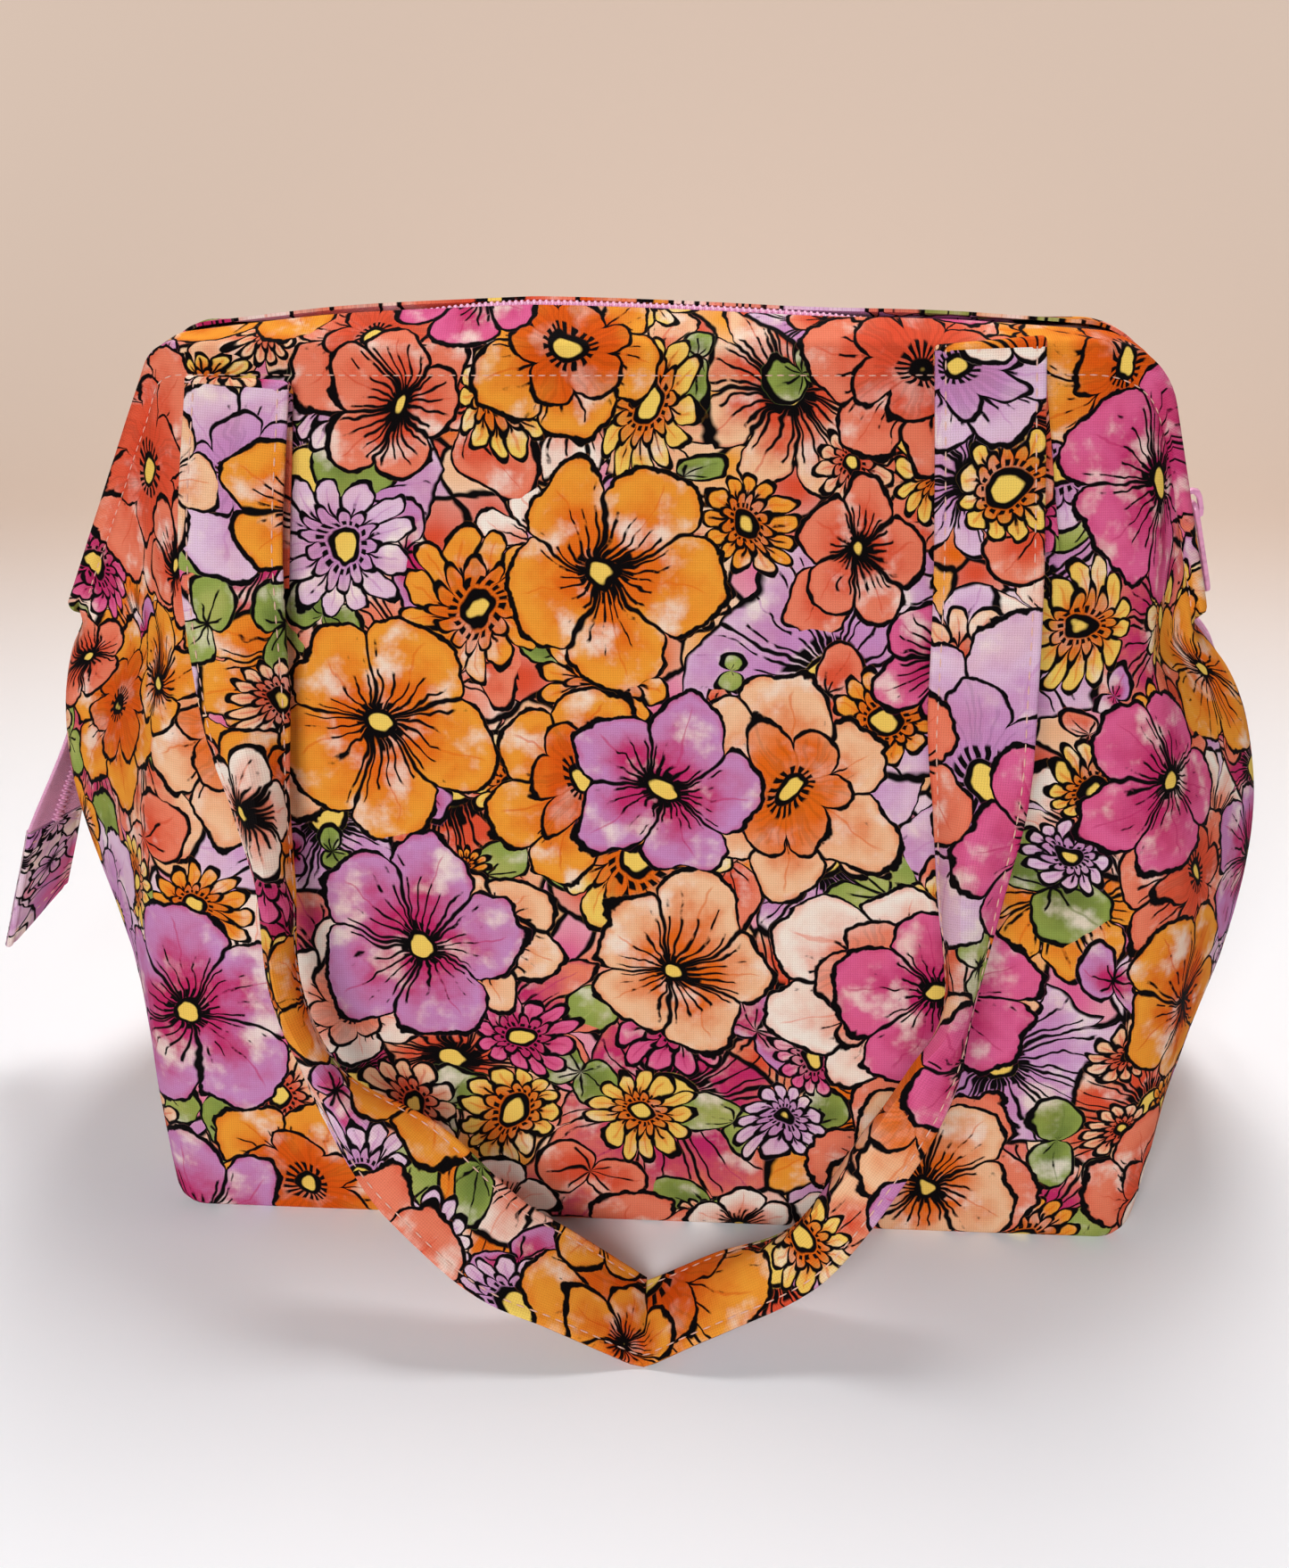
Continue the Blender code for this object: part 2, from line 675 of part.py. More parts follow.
def handle_places():
    """Return the front handle's middle line as points, turns and width shares."""
    points = []
    shapes = []
    for across, up, stand_off, turn, width_share in HANDLE_ROUTE:
        x = handle_x(across)
        fold = mix(FOLD_HEIGHT[LEFT], FOLD_HEIGHT[RIGHT], (across + 1.0) / 2)
        z = max(up * fold, FLOOR_CLEARANCE + STRAP_THICKNESS / 2)
        if stand_off is None:
            depth = sewn_depths(LEFT if across < 0 else RIGHT)[0] + HANDLE_STAND_OFF
        else:
            depth = face_depth(x, z) + stand_off
        points.append(Vector((x, -depth, z)))
        shapes.append(Vector((turn, width_share, 0)))
    return curve_through(points, STRAP_STEPS), curve_through(shapes, STRAP_STEPS)


def handle_edges():
    """Return the pairs of edge points along the front handle."""
    points, shapes = handle_places()
    last = len(points) - 1
    lean = math.atan2(face_depth(0, 0) - face_depth(0, FRAME_HEIGHT), FRAME_HEIGHT)
    facing = Vector((0, -math.cos(lean), math.sin(lean)))
    edges = []
    for step, (point, shape) in enumerate(zip(points, shapes)):
        run = (points[min(step + 1, last)] - points[max(step - 1, 0)]).normalized()
        inward = facing.cross(run).normalized()
        rearward = inward.cross(run)
        angle = math.radians(shape.x)
        across = (inward * math.cos(angle) + rearward * math.sin(angle)) * (STRAP_WIDTH / 2 * shape.y)
        edges.append((point - across, point + across))
    return edges


def make_handles():
    """Make both hanging handle loops and the four ends that are sewn to the panels."""
    edges = handle_edges()
    pivot = (sum(edges[0], Vector()) + sum(edges[-1], Vector())) / 4
    for face in (FRONT, BACK):
        name = f"{FACE_NAME[face]}_handle_loop"
        origin = mirrored(pivot, face)
        pairs = [(mirrored(left, face), mirrored(right, face)) for left, right in edges]
        loop = add_object(name, band_mesh(name, pairs, STRAP_THICKNESS, origin), PRINT_CLOTH)
        loop.location = origin
        for side in (LEFT, RIGHT):
            make_sewn_end(face, side)


def sewn_depths(side):
    """Return how far a sewn end's back stands from the middle plane at its top and its foot.

    The end is flat, so it clears the fullest part of the panel behind it.
    """
    x = handle_x(side)
    depths = []
    for share in (0.0, 0.5, 1.0):
        z = FOLD_HEIGHT[side] - mix(SEWN_DROP, SEWN_LENGTH, share)
        depths.append(max(face_depth(x + edge * STRAP_WIDTH / 2, z) for edge in (LEFT, RIGHT)))
    top, middle, foot = depths
    sag = max(0.0, middle - (top + foot) / 2)
    return top + sag + SEWN_SEAT, foot + sag + SEWN_SEAT


def make_sewn_end(face, side):
    """Make one strap end, flat against its panel below the casing."""
    tilt = math.tan(SEWN_TILT[side]) * side * SEWN_LENGTH
    across = Vector((STRAP_WIDTH / 2, 0, 0))
    edges = []
    for share, depth in zip((0.0, 1.0), sewn_depths(side)):
        height = FOLD_HEIGHT[side] - mix(SEWN_DROP, SEWN_LENGTH, share)
        middle = Vector((handle_x(side) + tilt * share, -depth - STRAP_THICKNESS / 2, height))
        edges.append((mirrored(middle - across, face), mirrored(middle + across, face)))
    name = f"{FACE_NAME[face]}_handle_{SIDE_NAME[side]}_end"
    seat = (edges[0][0] + edges[1][1]) / 2
    end = add_object(name, band_mesh(name, edges, STRAP_THICKNESS, seat), PRINT_CLOTH)
    end.location = seat


def main():
    """Build the whole bag."""
    clear_scene()
    make_panels()
    make_wires()
    make_zip()
    make_slider()
    make_tails()
    make_handles()


main()
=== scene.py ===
"""Looks of a zip-top knitting bag: printed cloth shell, zip, slider, zip tails and folded straps."""

import json
import logging
import math
from collections.abc import Iterator, Sequence
from dataclasses import dataclass, field
from enum import Enum, IntEnum

import bmesh
import bpy
import numpy as np
from bpy.types import ColorRamp, Material, Mesh, Node, NodeSocket, NodeTree, Object, World
from mathutils import Matrix, Vector, noise

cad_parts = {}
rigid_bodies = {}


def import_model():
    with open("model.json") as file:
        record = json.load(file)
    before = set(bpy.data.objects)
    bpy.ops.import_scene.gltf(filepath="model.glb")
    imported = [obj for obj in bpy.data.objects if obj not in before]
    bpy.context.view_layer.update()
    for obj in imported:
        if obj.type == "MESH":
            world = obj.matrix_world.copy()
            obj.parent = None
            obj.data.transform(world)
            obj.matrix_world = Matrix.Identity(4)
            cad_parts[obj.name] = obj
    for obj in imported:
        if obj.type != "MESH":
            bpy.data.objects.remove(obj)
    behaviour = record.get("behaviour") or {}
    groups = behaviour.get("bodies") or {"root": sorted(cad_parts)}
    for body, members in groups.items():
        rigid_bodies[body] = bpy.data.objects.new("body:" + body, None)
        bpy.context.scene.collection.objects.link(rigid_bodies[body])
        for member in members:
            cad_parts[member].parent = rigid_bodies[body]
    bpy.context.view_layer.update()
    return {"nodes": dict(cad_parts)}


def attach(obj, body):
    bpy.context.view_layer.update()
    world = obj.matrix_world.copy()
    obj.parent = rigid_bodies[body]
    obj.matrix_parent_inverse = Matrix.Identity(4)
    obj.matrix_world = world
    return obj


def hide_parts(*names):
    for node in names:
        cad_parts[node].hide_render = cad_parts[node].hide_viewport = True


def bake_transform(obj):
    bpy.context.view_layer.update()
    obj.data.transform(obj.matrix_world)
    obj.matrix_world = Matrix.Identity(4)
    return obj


LOG = logging.getLogger("knitting_bag")
FLAT = "flat_cloth"
FACING = "facing"
CUT_STEP = 0.1
Triple = tuple[float, float, float]
Colour = Triple
Line = list[tuple[Vector, Vector]]


class Side(IntEnum):
    """The two ends of the bag along X."""

    LEFT = -1
    RIGHT = 1


class Face(IntEnum):
    """The two broad faces of the bag along Y."""

    FRONT = -1
    BACK = 1


class Zone(Enum):
    """Stretches of the wire frame from the middle of the mouth to the side seam."""

    TOP = "top"
    BEND = "bend"
    LEG = "leg"


class Palette(Enum):
    """Colourways of the printed cloth."""

    WARM = "warm"
    LILAC = "lilac"


# An end of the bag, a stretch of the wire and the share of that stretch.
Station = tuple[Side, Zone, float]


def mix(start: float, end: float, share: float) -> float:
    """Return the value a share of the way from start to end."""
    return start + (end - start) * share


def srgb(red: int, green: int, blue: int) -> Colour:
    """Return a screen colour of 0 to 255 as linear light.

    Args:
        red: The red value.
        green: The green value.
        blue: The blue value.

    Returns:
        The three linear values.
    """
    shares = (channel / 255 for channel in (red, green, blue))
    return tuple(s / 12.92 if s <= 0.04045 else ((s + 0.055) / 1.055) ** 2.4 for s in shares)


class Nodes:
    """A node tree with one way to add any node."""

    def __init__(self, tree: NodeTree) -> None:
        """Work on a tree."""
        self.tree = tree

    def node(self, kind: str, settings: dict | None = None, sockets: dict | None = None) -> Node:
        """Add a node.

        Args:
            kind: The node's type.
            settings: Properties to set first; "stops" fills a colour ramp.
            sockets: Values or links by socket name or number.

        Returns:
            The new node.
        """
        made = self.tree.nodes.new(kind)
        for key, value in (settings or {}).items():
            if key == "stops":
                self._fill_ramp(made.color_ramp, value)
            else:
                setattr(made, key, value)
        for key, value in (sockets or {}).items():
            if isinstance(value, Value):
                value = value.socket
            if isinstance(value, NodeSocket):
                self.tree.links.new(value, made.inputs[key])
            elif isinstance(value, tuple) and len(value) == 3 and made.inputs[key].type == "RGBA":
                made.inputs[key].default_value = (*value, 1.0)
            else:
                made.inputs[key].default_value = value
        return made

    @staticmethod
    def _fill_ramp(ramp: ColorRamp, stops: Sequence[tuple[float, Colour]]) -> None:
        """Replace a ramp's stops by the given places and colours.

        Args:
            ramp: The ramp.
            stops: The places from 0 to 1 with their colours.
        """
        while len(ramp.elements) < len(stops):
            ramp.elements.new(0.5)
        for element, (place, colour) in zip(ramp.elements, stops):
            element.position = place
            element.color = (*colour, 1.0)


class Shade(Nodes):
    """The node tree of a material or of the world."""

    def __init__(self, owner: Material | World) -> None:
        """Start with an empty node tree.

        Args:
            owner: The material or the world.
        """
        owner.use_nodes = True
        super().__init__(owner.node_tree)
        self.owner = owner
        self.tree.nodes.clear()

    def value(self, node: Node, output: str | int = 0) -> "Value":
        """Wrap one output of a node."""
        return Value(self, node.outputs[output])

    def blend(self, share: "Value | float", start: object, end: object, kind: str = "MIX") -> "Value":
        """Mix two colours.

        Args:
            share: How much of the end colour is used.
            start: The first colour or link.
            end: The second colour or link.
            kind: The blend type.

        Returns:
            The mixed colour.
        """
        settings = {"data_type": "RGBA", "blend_type": kind}
        return self.value(self.node("ShaderNodeMix", settings, {0: share, 6: start, 7: end}), 2)

    def ramp(self, share: "Value", colours: Sequence[Colour]) -> "Value":
        """Pick one of several colours in equal steps.

        Args:
            share: The value from 0 to 1 that picks.
            colours: The colours.

        Returns:
            The colour.
        """
        stops = [(index / len(colours), colour) for index, colour in enumerate(colours)]
        made = self.node("ShaderNodeValToRGB", {"stops": stops}, {0: share})
        made.color_ramp.interpolation = "CONSTANT"
        return self.value(made)

    def clouds(self, place: "Value", scale: float, detail: float = 2.0) -> "Value":
        """Return soft noise from 0 to 1 over a place."""
        sockets = {"Vector": place, "Scale": scale, "Detail": detail, "Roughness": 0.55}
        return self.value(self.node("ShaderNodeTexNoise", {"noise_dimensions": "3D"}, sockets))

    def surface(self, sockets: dict) -> Material:
        """Close the material with a Principled surface.

        Args:
            sockets: The surface's values or links.

        Returns:
            The material.
        """
        shader = self.node("ShaderNodeBsdfPrincipled", {}, sockets)
        self.node("ShaderNodeOutputMaterial", {}, {"Surface": shader.outputs[0]})
        return self.owner

    def cells(self, place: "Value", loose: float = 1.0, feature: str = "F1") -> Node:
        """Scatter points over the plane, one to each unit square, with the cells round them.

        Args:
            place: The place on the plane.
            loose: How far the points stray from a square layout, as a share.
            feature: What is measured.

        Returns:
            The node.
        """
        settings = {"voronoi_dimensions": "2D", "feature": feature}
        sockets = {"Vector": place, "Scale": 1.0, "Randomness": loose}
        return self.node("ShaderNodeTexVoronoi", settings, sockets)

    def bump(self, height: "Value", depth: float, strength: float) -> "Value":
        """Return a normal from a height from 0 to 1 that stands for a depth in metres."""
        sockets = {"Height": height, "Distance": depth, "Strength": strength}
        return self.value(self.node("ShaderNodeBump", {}, sockets))


class Value:
    """A shader socket with arithmetic."""

    def __init__(self, shade: Shade, socket: NodeSocket) -> None:
        """Wrap a socket of a material."""
        self.shade = shade
        self.socket = socket

    def math(self, operation: str, *others: "Value | float") -> "Value":
        """Add a Math node on this value and others.

        Args:
            operation: The Math node's operation.
            others: Further values.

        Returns:
            The result.
        """
        sockets = {index: value for index, value in enumerate((self, *others))}
        return self.shade.value(self.shade.node("ShaderNodeMath", {"operation": operation}, sockets))

    def _reflected(self, operation: str, other: float) -> "Value":
        """Add a Math node with a plain number first."""
        sockets = {0: other, 1: self}
        return self.shade.value(self.shade.node("ShaderNodeMath", {"operation": operation}, sockets))

    def __add__(self, other: "Value | float") -> "Value":
        """Add."""
        return self.math("ADD", other)

    __radd__ = __add__

    def __sub__(self, other: "Value | float") -> "Value":
        """Subtract."""
        return self.math("SUBTRACT", other)

    def __rsub__(self, other: float) -> "Value":
        """Subtract this value from a number."""
        return self._reflected("SUBTRACT", other)

    def __mul__(self, other: "Value | float") -> "Value":
        """Multiply."""
        return self.math("MULTIPLY", other)

    __rmul__ = __mul__

    def __truediv__(self, other: "Value | float") -> "Value":
        """Divide."""
        return self.math("DIVIDE", other)

    def __rtruediv__(self, other: float) -> "Value":
        """Divide a number by this value."""
        return self._reflected("DIVIDE", other)

    def __pow__(self, other: "Value | float") -> "Value":
        """Raise to a power."""
        return self.math("POWER", other)

    def __abs__(self) -> "Value":
        """Return the size without the sign."""
        return self.math("ABSOLUTE")

    def smooth(self, low: "Value | float", high: "Value | float") -> "Value":
        """Rise smoothly from 0 at low to 1 at high."""
        settings = {"interpolation_type": "SMOOTHSTEP"}
        return self.shade.value(self.shade.node("ShaderNodeMapRange", settings, {0: self, 1: low, 2: high}))

    def vector(self, operation: str, other: object, output: int = 0) -> "Value":
        """Add a Vector Math node on this vector and another.

        Args:
            operation: The Vector Math node's operation.
            other: A vector, a link, or a number for SCALE.
            output: Which output is read, 1 for a length.

        Returns:
            The result.
        """
        sockets = {0: self}
        if operation == "SCALE":
            sockets["Scale"] = other
        elif other is not None:
            sockets[1] = other
        made = self.shade.node("ShaderNodeVectorMath", {"operation": operation}, sockets)
        return self.shade.value(made, output)

    def parts(self) -> tuple["Value", "Value", "Value"]:
        """Split a vector into its three values."""
        made = self.shade.node("ShaderNodeSeparateXYZ", {}, {0: self})
        return tuple(self.shade.value(made, index) for index in range(3))


@dataclass(frozen=True)
class Motif:
    """One kind of flower or leaf, scattered over the cloth.

    Args:
        cell: The spacing of the motifs in metres.
        petals: How many petals go round.
        hollow: How far in the outline dips between petals, as a share.
        point: How sharp the petals are.
        tips: Petal colours towards the rim.
        roots: Petal colours towards the middle, in the same order.
        shift: Where the scatter starts, so that kinds don't line up.
        heart: The share of the radius that the middle takes, 0 for none.
        loose: How far the scatter strays from a square layout, as a share.
        spread: How much of the free space round it a motif fills.
        double: Whether a second ring of petals lies on the first.
        strokes: How many pen strokes run out along each petal.
    """

    cell: float
    petals: int
    hollow: float
    point: float
    tips: tuple[Colour, ...]
    roots: tuple[Colour, ...]
    shift: Triple
    heart: float
    loose: float = 0.75
    spread: float = 1.0
    double: bool = False
    strokes: int = 0


INK = srgb(8, 6, 8)
ORANGE = srgb(234, 110, 24)
AMBER = srgb(246, 164, 56)
PEACH = srgb(250, 202, 160)
CORAL = srgb(226, 84, 54)
SALMON = srgb(241, 136, 106)
PINK = srgb(230, 104, 156)
MAGENTA = srgb(198, 46, 108)
LILAC = srgb(206, 144, 200)
PALE_LILAC = srgb(233, 202, 228)
CREAM = srgb(254, 244, 232)
YELLOW = srgb(248, 214, 104)
GREEN = srgb(146, 166, 80)
STAIN = srgb(250, 214, 190)
# Painted shade for the gaps between the woven threads.
PAINTED_WEAVE_SHADE = srgb(178, 150, 140)


@dataclass(frozen=True)
class PrintCloth:
    """Plain-woven canvas with a dense flower print, inked and washed with colour.

    Args:
        palette: The colourway.
        thread: The weave's pitch in metres.
        ink_width: Half the width of an ink line in metres.
        filler_cell: The spacing of the small petals in metres.
        drifts: How many waves bend the drawing in a metre, and how far.
    """

    palette: Palette
    thread: float = 0.0006
    ink_width: float = 0.00052
    filler_cell: float = 0.0125
    drifts: tuple[tuple[float, float], ...] = ((38.0, 0.016), (210.0, 0.0026))
    wobble_scale: float = 150.0
    blot_scale: float = 85.0
    stain_scale: float = 70.0
    slub_scale: float = 900.0
    relief: float = 0.00018

    def filler_colours(self) -> tuple[Colour, ...]:
        """Return the colours of the small petals between the flowers."""
        if self.palette is Palette.LILAC:
            return (PALE_LILAC, LILAC, CREAM, PALE_LILAC, PINK, LILAC)
        return (SALMON, ORANGE, PEACH, PINK, AMBER, LILAC, CORAL, PALE_LILAC)

    def motifs(self) -> tuple[Motif, ...]:
        """Return the flowers and leaves, from the lowest layer to the top one."""
        if self.palette is Palette.LILAC:
            tips = (PALE_LILAC, LILAC, CREAM)
            roots = (LILAC, PINK, LILAC)
            return (
                Motif(0.034, 9, 0.4, 0.7, tips, roots, (3.1, 7.4, 0.0), 0.0, 0.8, 2.4, strokes=2),
                Motif(0.030, 8, 0.30, 0.7, tips, roots, (6.1, 1.4, 0.0), 0.2, strokes=2),
            )
        ray_tips = (PEACH, PALE_LILAC, SALMON, AMBER, CREAM)
        ray_roots = (CORAL, LILAC, MAGENTA, ORANGE, SALMON)
        leaf_tips = (GREEN, SALMON, GREEN, LILAC)
        leaf_roots = (srgb(112, 132, 62), CORAL, srgb(176, 186, 104), MAGENTA)
        daisy_tips = (AMBER, PALE_LILAC, YELLOW, PINK, PEACH)
        daisy_roots = (ORANGE, LILAC, ORANGE, MAGENTA, CORAL)
        bloom_tips = (AMBER, SALMON, LILAC, PEACH, PINK, AMBER, CREAM)
        bloom_roots = (ORANGE, CORAL, MAGENTA, ORANGE, MAGENTA, srgb(222, 84, 16), SALMON)
        rose_tips = (PEACH, PALE_LILAC, AMBER, CREAM, SALMON)
        rose_roots = (ORANGE, LILAC, srgb(226, 92, 18), SALMON, CORAL)
        return (
            Motif(0.044, 9, 0.45, 0.6, ray_tips, ray_roots, (2.2, 6.7, 0.0), 0.12, 0.85, 2.6, strokes=3),
            Motif(0.030, 2, 0.80, 1.2, leaf_tips, leaf_roots, (1.7, 4.2, 0.0), 0.0, 0.8, 1.2, strokes=4),
            Motif(0.036, 13, 0.30, 0.6, daisy_tips, daisy_roots, (8.3, 2.6, 0.0), 0.24, 0.75, 1.05, True, 1),
            Motif(0.070, 6, 0.26, 0.7, rose_tips, rose_roots, (4.6, 3.3, 0.0), 0.12, 0.7, 1.06, True, 5),
            Motif(0.060, 5, 0.30, 0.62, bloom_tips, bloom_roots, (5.2, 9.1, 0.0), 0.13, 0.7, 1.04, False, 5),
        )

    def _hand_drawn(self, shade: Shade, place: Value) -> Value:
        """Bend the cloth's places a little, so that no line is true.

        Args:
            shade: The material.
            place: The flat place on the cloth in metres.

        Returns:
            The bent place.
        """
        for scale, reach in self.drifts:
            sockets = {"Vector": place, "Scale": scale, "Detail": 1.0}
            clouds = shade.node("ShaderNodeTexNoise", {"noise_dimensions": "3D"}, sockets)
            drift = shade.value(clouds, "Color").vector("SUBTRACT", (0.5, 0.5, 0.5))
            place = place.vector("ADD", drift.vector("SCALE", reach))
        return place

    def _filler(self, shade: Shade, place: Value) -> Value:
        """Lay small inked petals under everything else.

        Args:
            shade: The material.
            place: The flat place on the cloth in metres.

        Returns:
            The colour.
        """
        grid = place.vector("SCALE", 1 / self.filler_cell)
        cells = shade.cells(grid)
        pick = shade.value(cells, "Color").parts()[0]
        edges = shade.cells(grid, feature="DISTANCE_TO_EDGE")
        colour = shade.ramp(pick, self.filler_colours())
        wash = shade.value(cells, "Distance").smooth(0.05, 0.75)
        colour = shade.blend(wash * 0.3, colour, CREAM)
        line = 1 - shade.value(edges).smooth(0.03, 0.08)
        return shade.blend(line, colour, INK)

    def _flower(self, shade: Shade, place: Value, wobble: Value, blot: Value, motif: Motif,
                under: Value) -> Value:
        """Lay one kind of flower over the colours below it.

        Args:
            shade: The material.
            place: The flat place on the cloth in metres.
            wobble: Soft noise that loosens the lines.
            blot: Where the wash has run thin.
            motif: The kind of flower.
            under: The colour so far.

        Returns:
            The colour with the flowers on it.
        """
        grid = place.vector("SCALE", 1 / motif.cell).vector("ADD", motif.shift)
        cells = shade.cells(grid, motif.loose)
        room = shade.value(shade.cells(grid, motif.loose, "N_SPHERE_RADIUS"), "Radius") * motif.spread
        pick, turn, _ = shade.value(cells, "Color").parts()
        local = grid.vector("SUBTRACT", shade.value(cells, "Position"))
        across, up, _ = local.parts()
        radius = local.vector("LENGTH", None, 1) / room
        angle = up.math("ARCTAN2", across) * (motif.petals / 2) + turn * 40.0
        lobe = abs(angle.math("COSINE"))
        rim = (lobe ** motif.point) * motif.hollow + (1 - motif.hollow) + (wobble - 0.5) * 0.16
        inside = rim - radius
        pen = (wobble * 0.9 + 0.45) * (self.ink_width / motif.cell) / room
        petal = inside.smooth(0.0, 0.015)
        tips = shade.ramp(pick, motif.tips)
        roots = shade.ramp(pick, motif.roots)
        wash = (radius / rim + (wobble - 0.5) * 0.9).smooth(0.25, 0.95)
        colour = shade.blend(blot * 0.78, shade.blend(wash, roots, tips), CREAM)
        pool = (1 - inside.smooth(0.02, 0.12)) * wobble.smooth(0.40, 0.62)
        colour = shade.blend(pool * 0.6, colour, roots)
        vein = abs(angle.math("SINE")) * radius * (2 / motif.petals)
        vein = (1 - vein.smooth(pen * 0.25, pen * 0.8)) * inside.smooth(0.10, 0.22)
        colour = shade.blend(vein * 0.55, colour, roots)
        valley = lobe * radius * (2 / motif.petals)
        line = 1 - valley.smooth(pen * 0.7, pen * 1.5)
        edge = 1 - abs(inside).smooth(pen, pen * 1.9)
        line = line.math("MAXIMUM", edge)
        if motif.strokes:
            comb = abs((angle * motif.strokes).math("SINE")) * radius * (2 / motif.petals / motif.strokes)
            length = radius / rim + (lobe - 0.5) * 0.3 + (wobble - 0.5) * 1.5 - turn * 0.28
            stroke = (1 - comb.smooth(pen * 0.4, pen * 0.95)) * (1 - length.smooth(0.46, 0.58))
            line = line.math("MAXIMUM", stroke)
        if motif.spread > 2:
            border = shade.value(shade.cells(grid, motif.loose, "DISTANCE_TO_EDGE"))
            line = line.math("MAXIMUM", 1 - border.smooth(0.012, 0.03))
        if motif.double:
            inner = abs(angle.math("SINE")) ** motif.point * 0.24 + 0.36 + (wobble - 0.5) * 0.12 - radius
            line = line * (1 - inner.smooth(0.0, 0.01) * 0.85)
            colour = shade.blend(inner.smooth(0.0, 0.01) * 0.55, colour, roots)
            line = line.math("MAXIMUM", 1 - abs(inner).smooth(pen, pen * 1.9))
        if motif.heart:
            heart = 1 - radius.smooth(motif.heart, motif.heart + 0.02)
            colour = shade.blend(heart, shade.blend(line, colour, INK), YELLOW)
            ring = 1 - abs(radius - motif.heart).smooth(pen, pen * 1.9)
            beads = abs((angle * (18 / motif.petals)).math("SINE")).smooth(0.55, 0.75)
            beads = beads * (1 - abs(radius - motif.heart * 1.45).smooth(0.03, 0.05))
            line = ring.math("MAXIMUM", beads).math("MAXIMUM", edge)
        colour = shade.blend(line, colour, INK)
        mask = petal.math("MAXIMUM", edge * inside.smooth(pen * -2.0, pen * -1.0))
        return shade.blend(mask, under, colour)

    def weave(self, shade: Shade, place: Value) -> Value:
        """Return the height of plain-woven threads from 0 to 1.

        Args:
            shade: The material.
            place: The flat place on the cloth in metres.

        Returns:
            The height.
        """
        across, along, _ = place.vector("SCALE", math.pi / self.thread).parts()
        warp = abs(across.math("SINE"))
        weft = abs(along.math("SINE"))
        over = (across.math("COSINE") * along.math("COSINE")).smooth(-0.4, 0.4)
        return warp * over + weft * (1 - over)

    def material(self) -> Material:
        """Build the printed cloth.

        Returns:
            The material.
        """
        shade = Shade(bpy.data.materials.new(f"print_cloth_{self.palette.value}"))
        place = shade.value(shade.node("ShaderNodeAttribute", {"attribute_name": FLAT}), "Vector")
        wobble = shade.clouds(place, self.wobble_scale, 3.0)
        blot = shade.clouds(place, self.blot_scale, 4.0).smooth(0.50, 0.72)
        drawn = self._hand_drawn(shade, place)
        colour = self._filler(shade, drawn)
        for motif in self.motifs():
            colour = self._flower(shade, drawn, wobble, blot, motif, colour)
        stain = shade.clouds(place, self.stain_scale, 4.0)
        colour = shade.blend(stain.smooth(0.35, 0.75) * 0.35, colour, STAIN, "MULTIPLY")
        height = self.weave(shade, place)
        # Painted shade: the gaps between the threads are darkened in the colour.
        colour = shade.blend((1 - height) * 0.36, colour, PAINTED_WEAVE_SHADE, "MULTIPLY")
        slub = shade.clouds(place, self.slub_scale, 2.0)
        return shade.surface({
            "Base Color": colour,
            "Roughness": 0.88,
            "Specular IOR Level": 0.06,
            "Normal": shade.bump(height * 0.8 + slub * 0.5, self.relief, 0.55),
        })


@dataclass(frozen=True)
class PlainCloth:
    """Cloth of one yarn with its weave, such as lining, foam backing or zip tape.

    Args:
        name: The material's name.
        colour: The yarn's colour.
        thread: The weave's pitch in metres.
        ribbed: Whether the ribs run one way only.
    """

    name: str
    colour: Colour
    thread: float
    ribbed: bool = False

    def material(self) -> Material:
        """Build the plain cloth.

        Returns:
            The material.
        """
        shade = Shade(bpy.data.materials.new(self.name))
        place = shade.value(shade.node("ShaderNodeAttribute", {"attribute_name": FLAT}), "Vector")
        across, along, _ = place.vector("SCALE", math.pi / self.thread).parts()
        height = abs(along.math("SINE"))
        if not self.ribbed:
            height = height * 0.5 + abs(across.math("SINE")) * 0.5
        worn = shade.clouds(place, 160.0, 3.0)
        # The paler tone of the painted highlight on the raised threads.
        pale = tuple(mix(channel, 1.0, 0.35) for channel in self.colour)
        deep = tuple(channel * 0.78 for channel in self.colour)
        colour = shade.blend(worn.smooth(0.2, 0.8), deep, self.colour)
        # Painted highlight: the raised threads are made paler in the colour.
        colour = shade.blend(height * 0.30, colour, pale)
        return shade.surface({
            "Base Color": colour,
            "Roughness": 0.82,
            "Specular IOR Level": 0.3,
            "Sheen Weight": 0.10,
            "Normal": shade.bump(height, 0.00016, 0.6),
        })


@dataclass(frozen=True)
class Solid:
    """Enamel, nylon, thread or wire: one substance with faint marks of making and wear.

    Args:
        name: The material's name.
        colour: The colour.
        roughness: The roughness where it is clean.
        metallic: 1 for bare metal.
        grain: How many marks go in a metre.
        coat: The weight of a clear coat.
    """

    name: str
    colour: Colour
    roughness: float
    metallic: float = 0.0
    grain: float = 400.0
    coat: float = 0.0

    def material(self) -> Material:
        """Build the substance.

        Returns:
            The material.
        """
        shade = Shade(bpy.data.materials.new(self.name))
        place = shade.value(shade.node("ShaderNodeTexCoord"), "Object")
        marks = shade.clouds(place, self.grain, 4.0)
        deep = tuple(channel * 0.80 for channel in self.colour)
        colour = shade.blend(marks.smooth(0.3, 0.7), deep, self.colour)
        rough = marks * 0.16 + (self.roughness - 0.08)
        return shade.surface({
            "Base Color": colour,
            "Roughness": rough,
            "Metallic": self.metallic,
            "Coat Weight": self.coat,
            "Coat Roughness": 0.12,
            "Normal": shade.bump(marks, 0.00006, 0.25),
        })


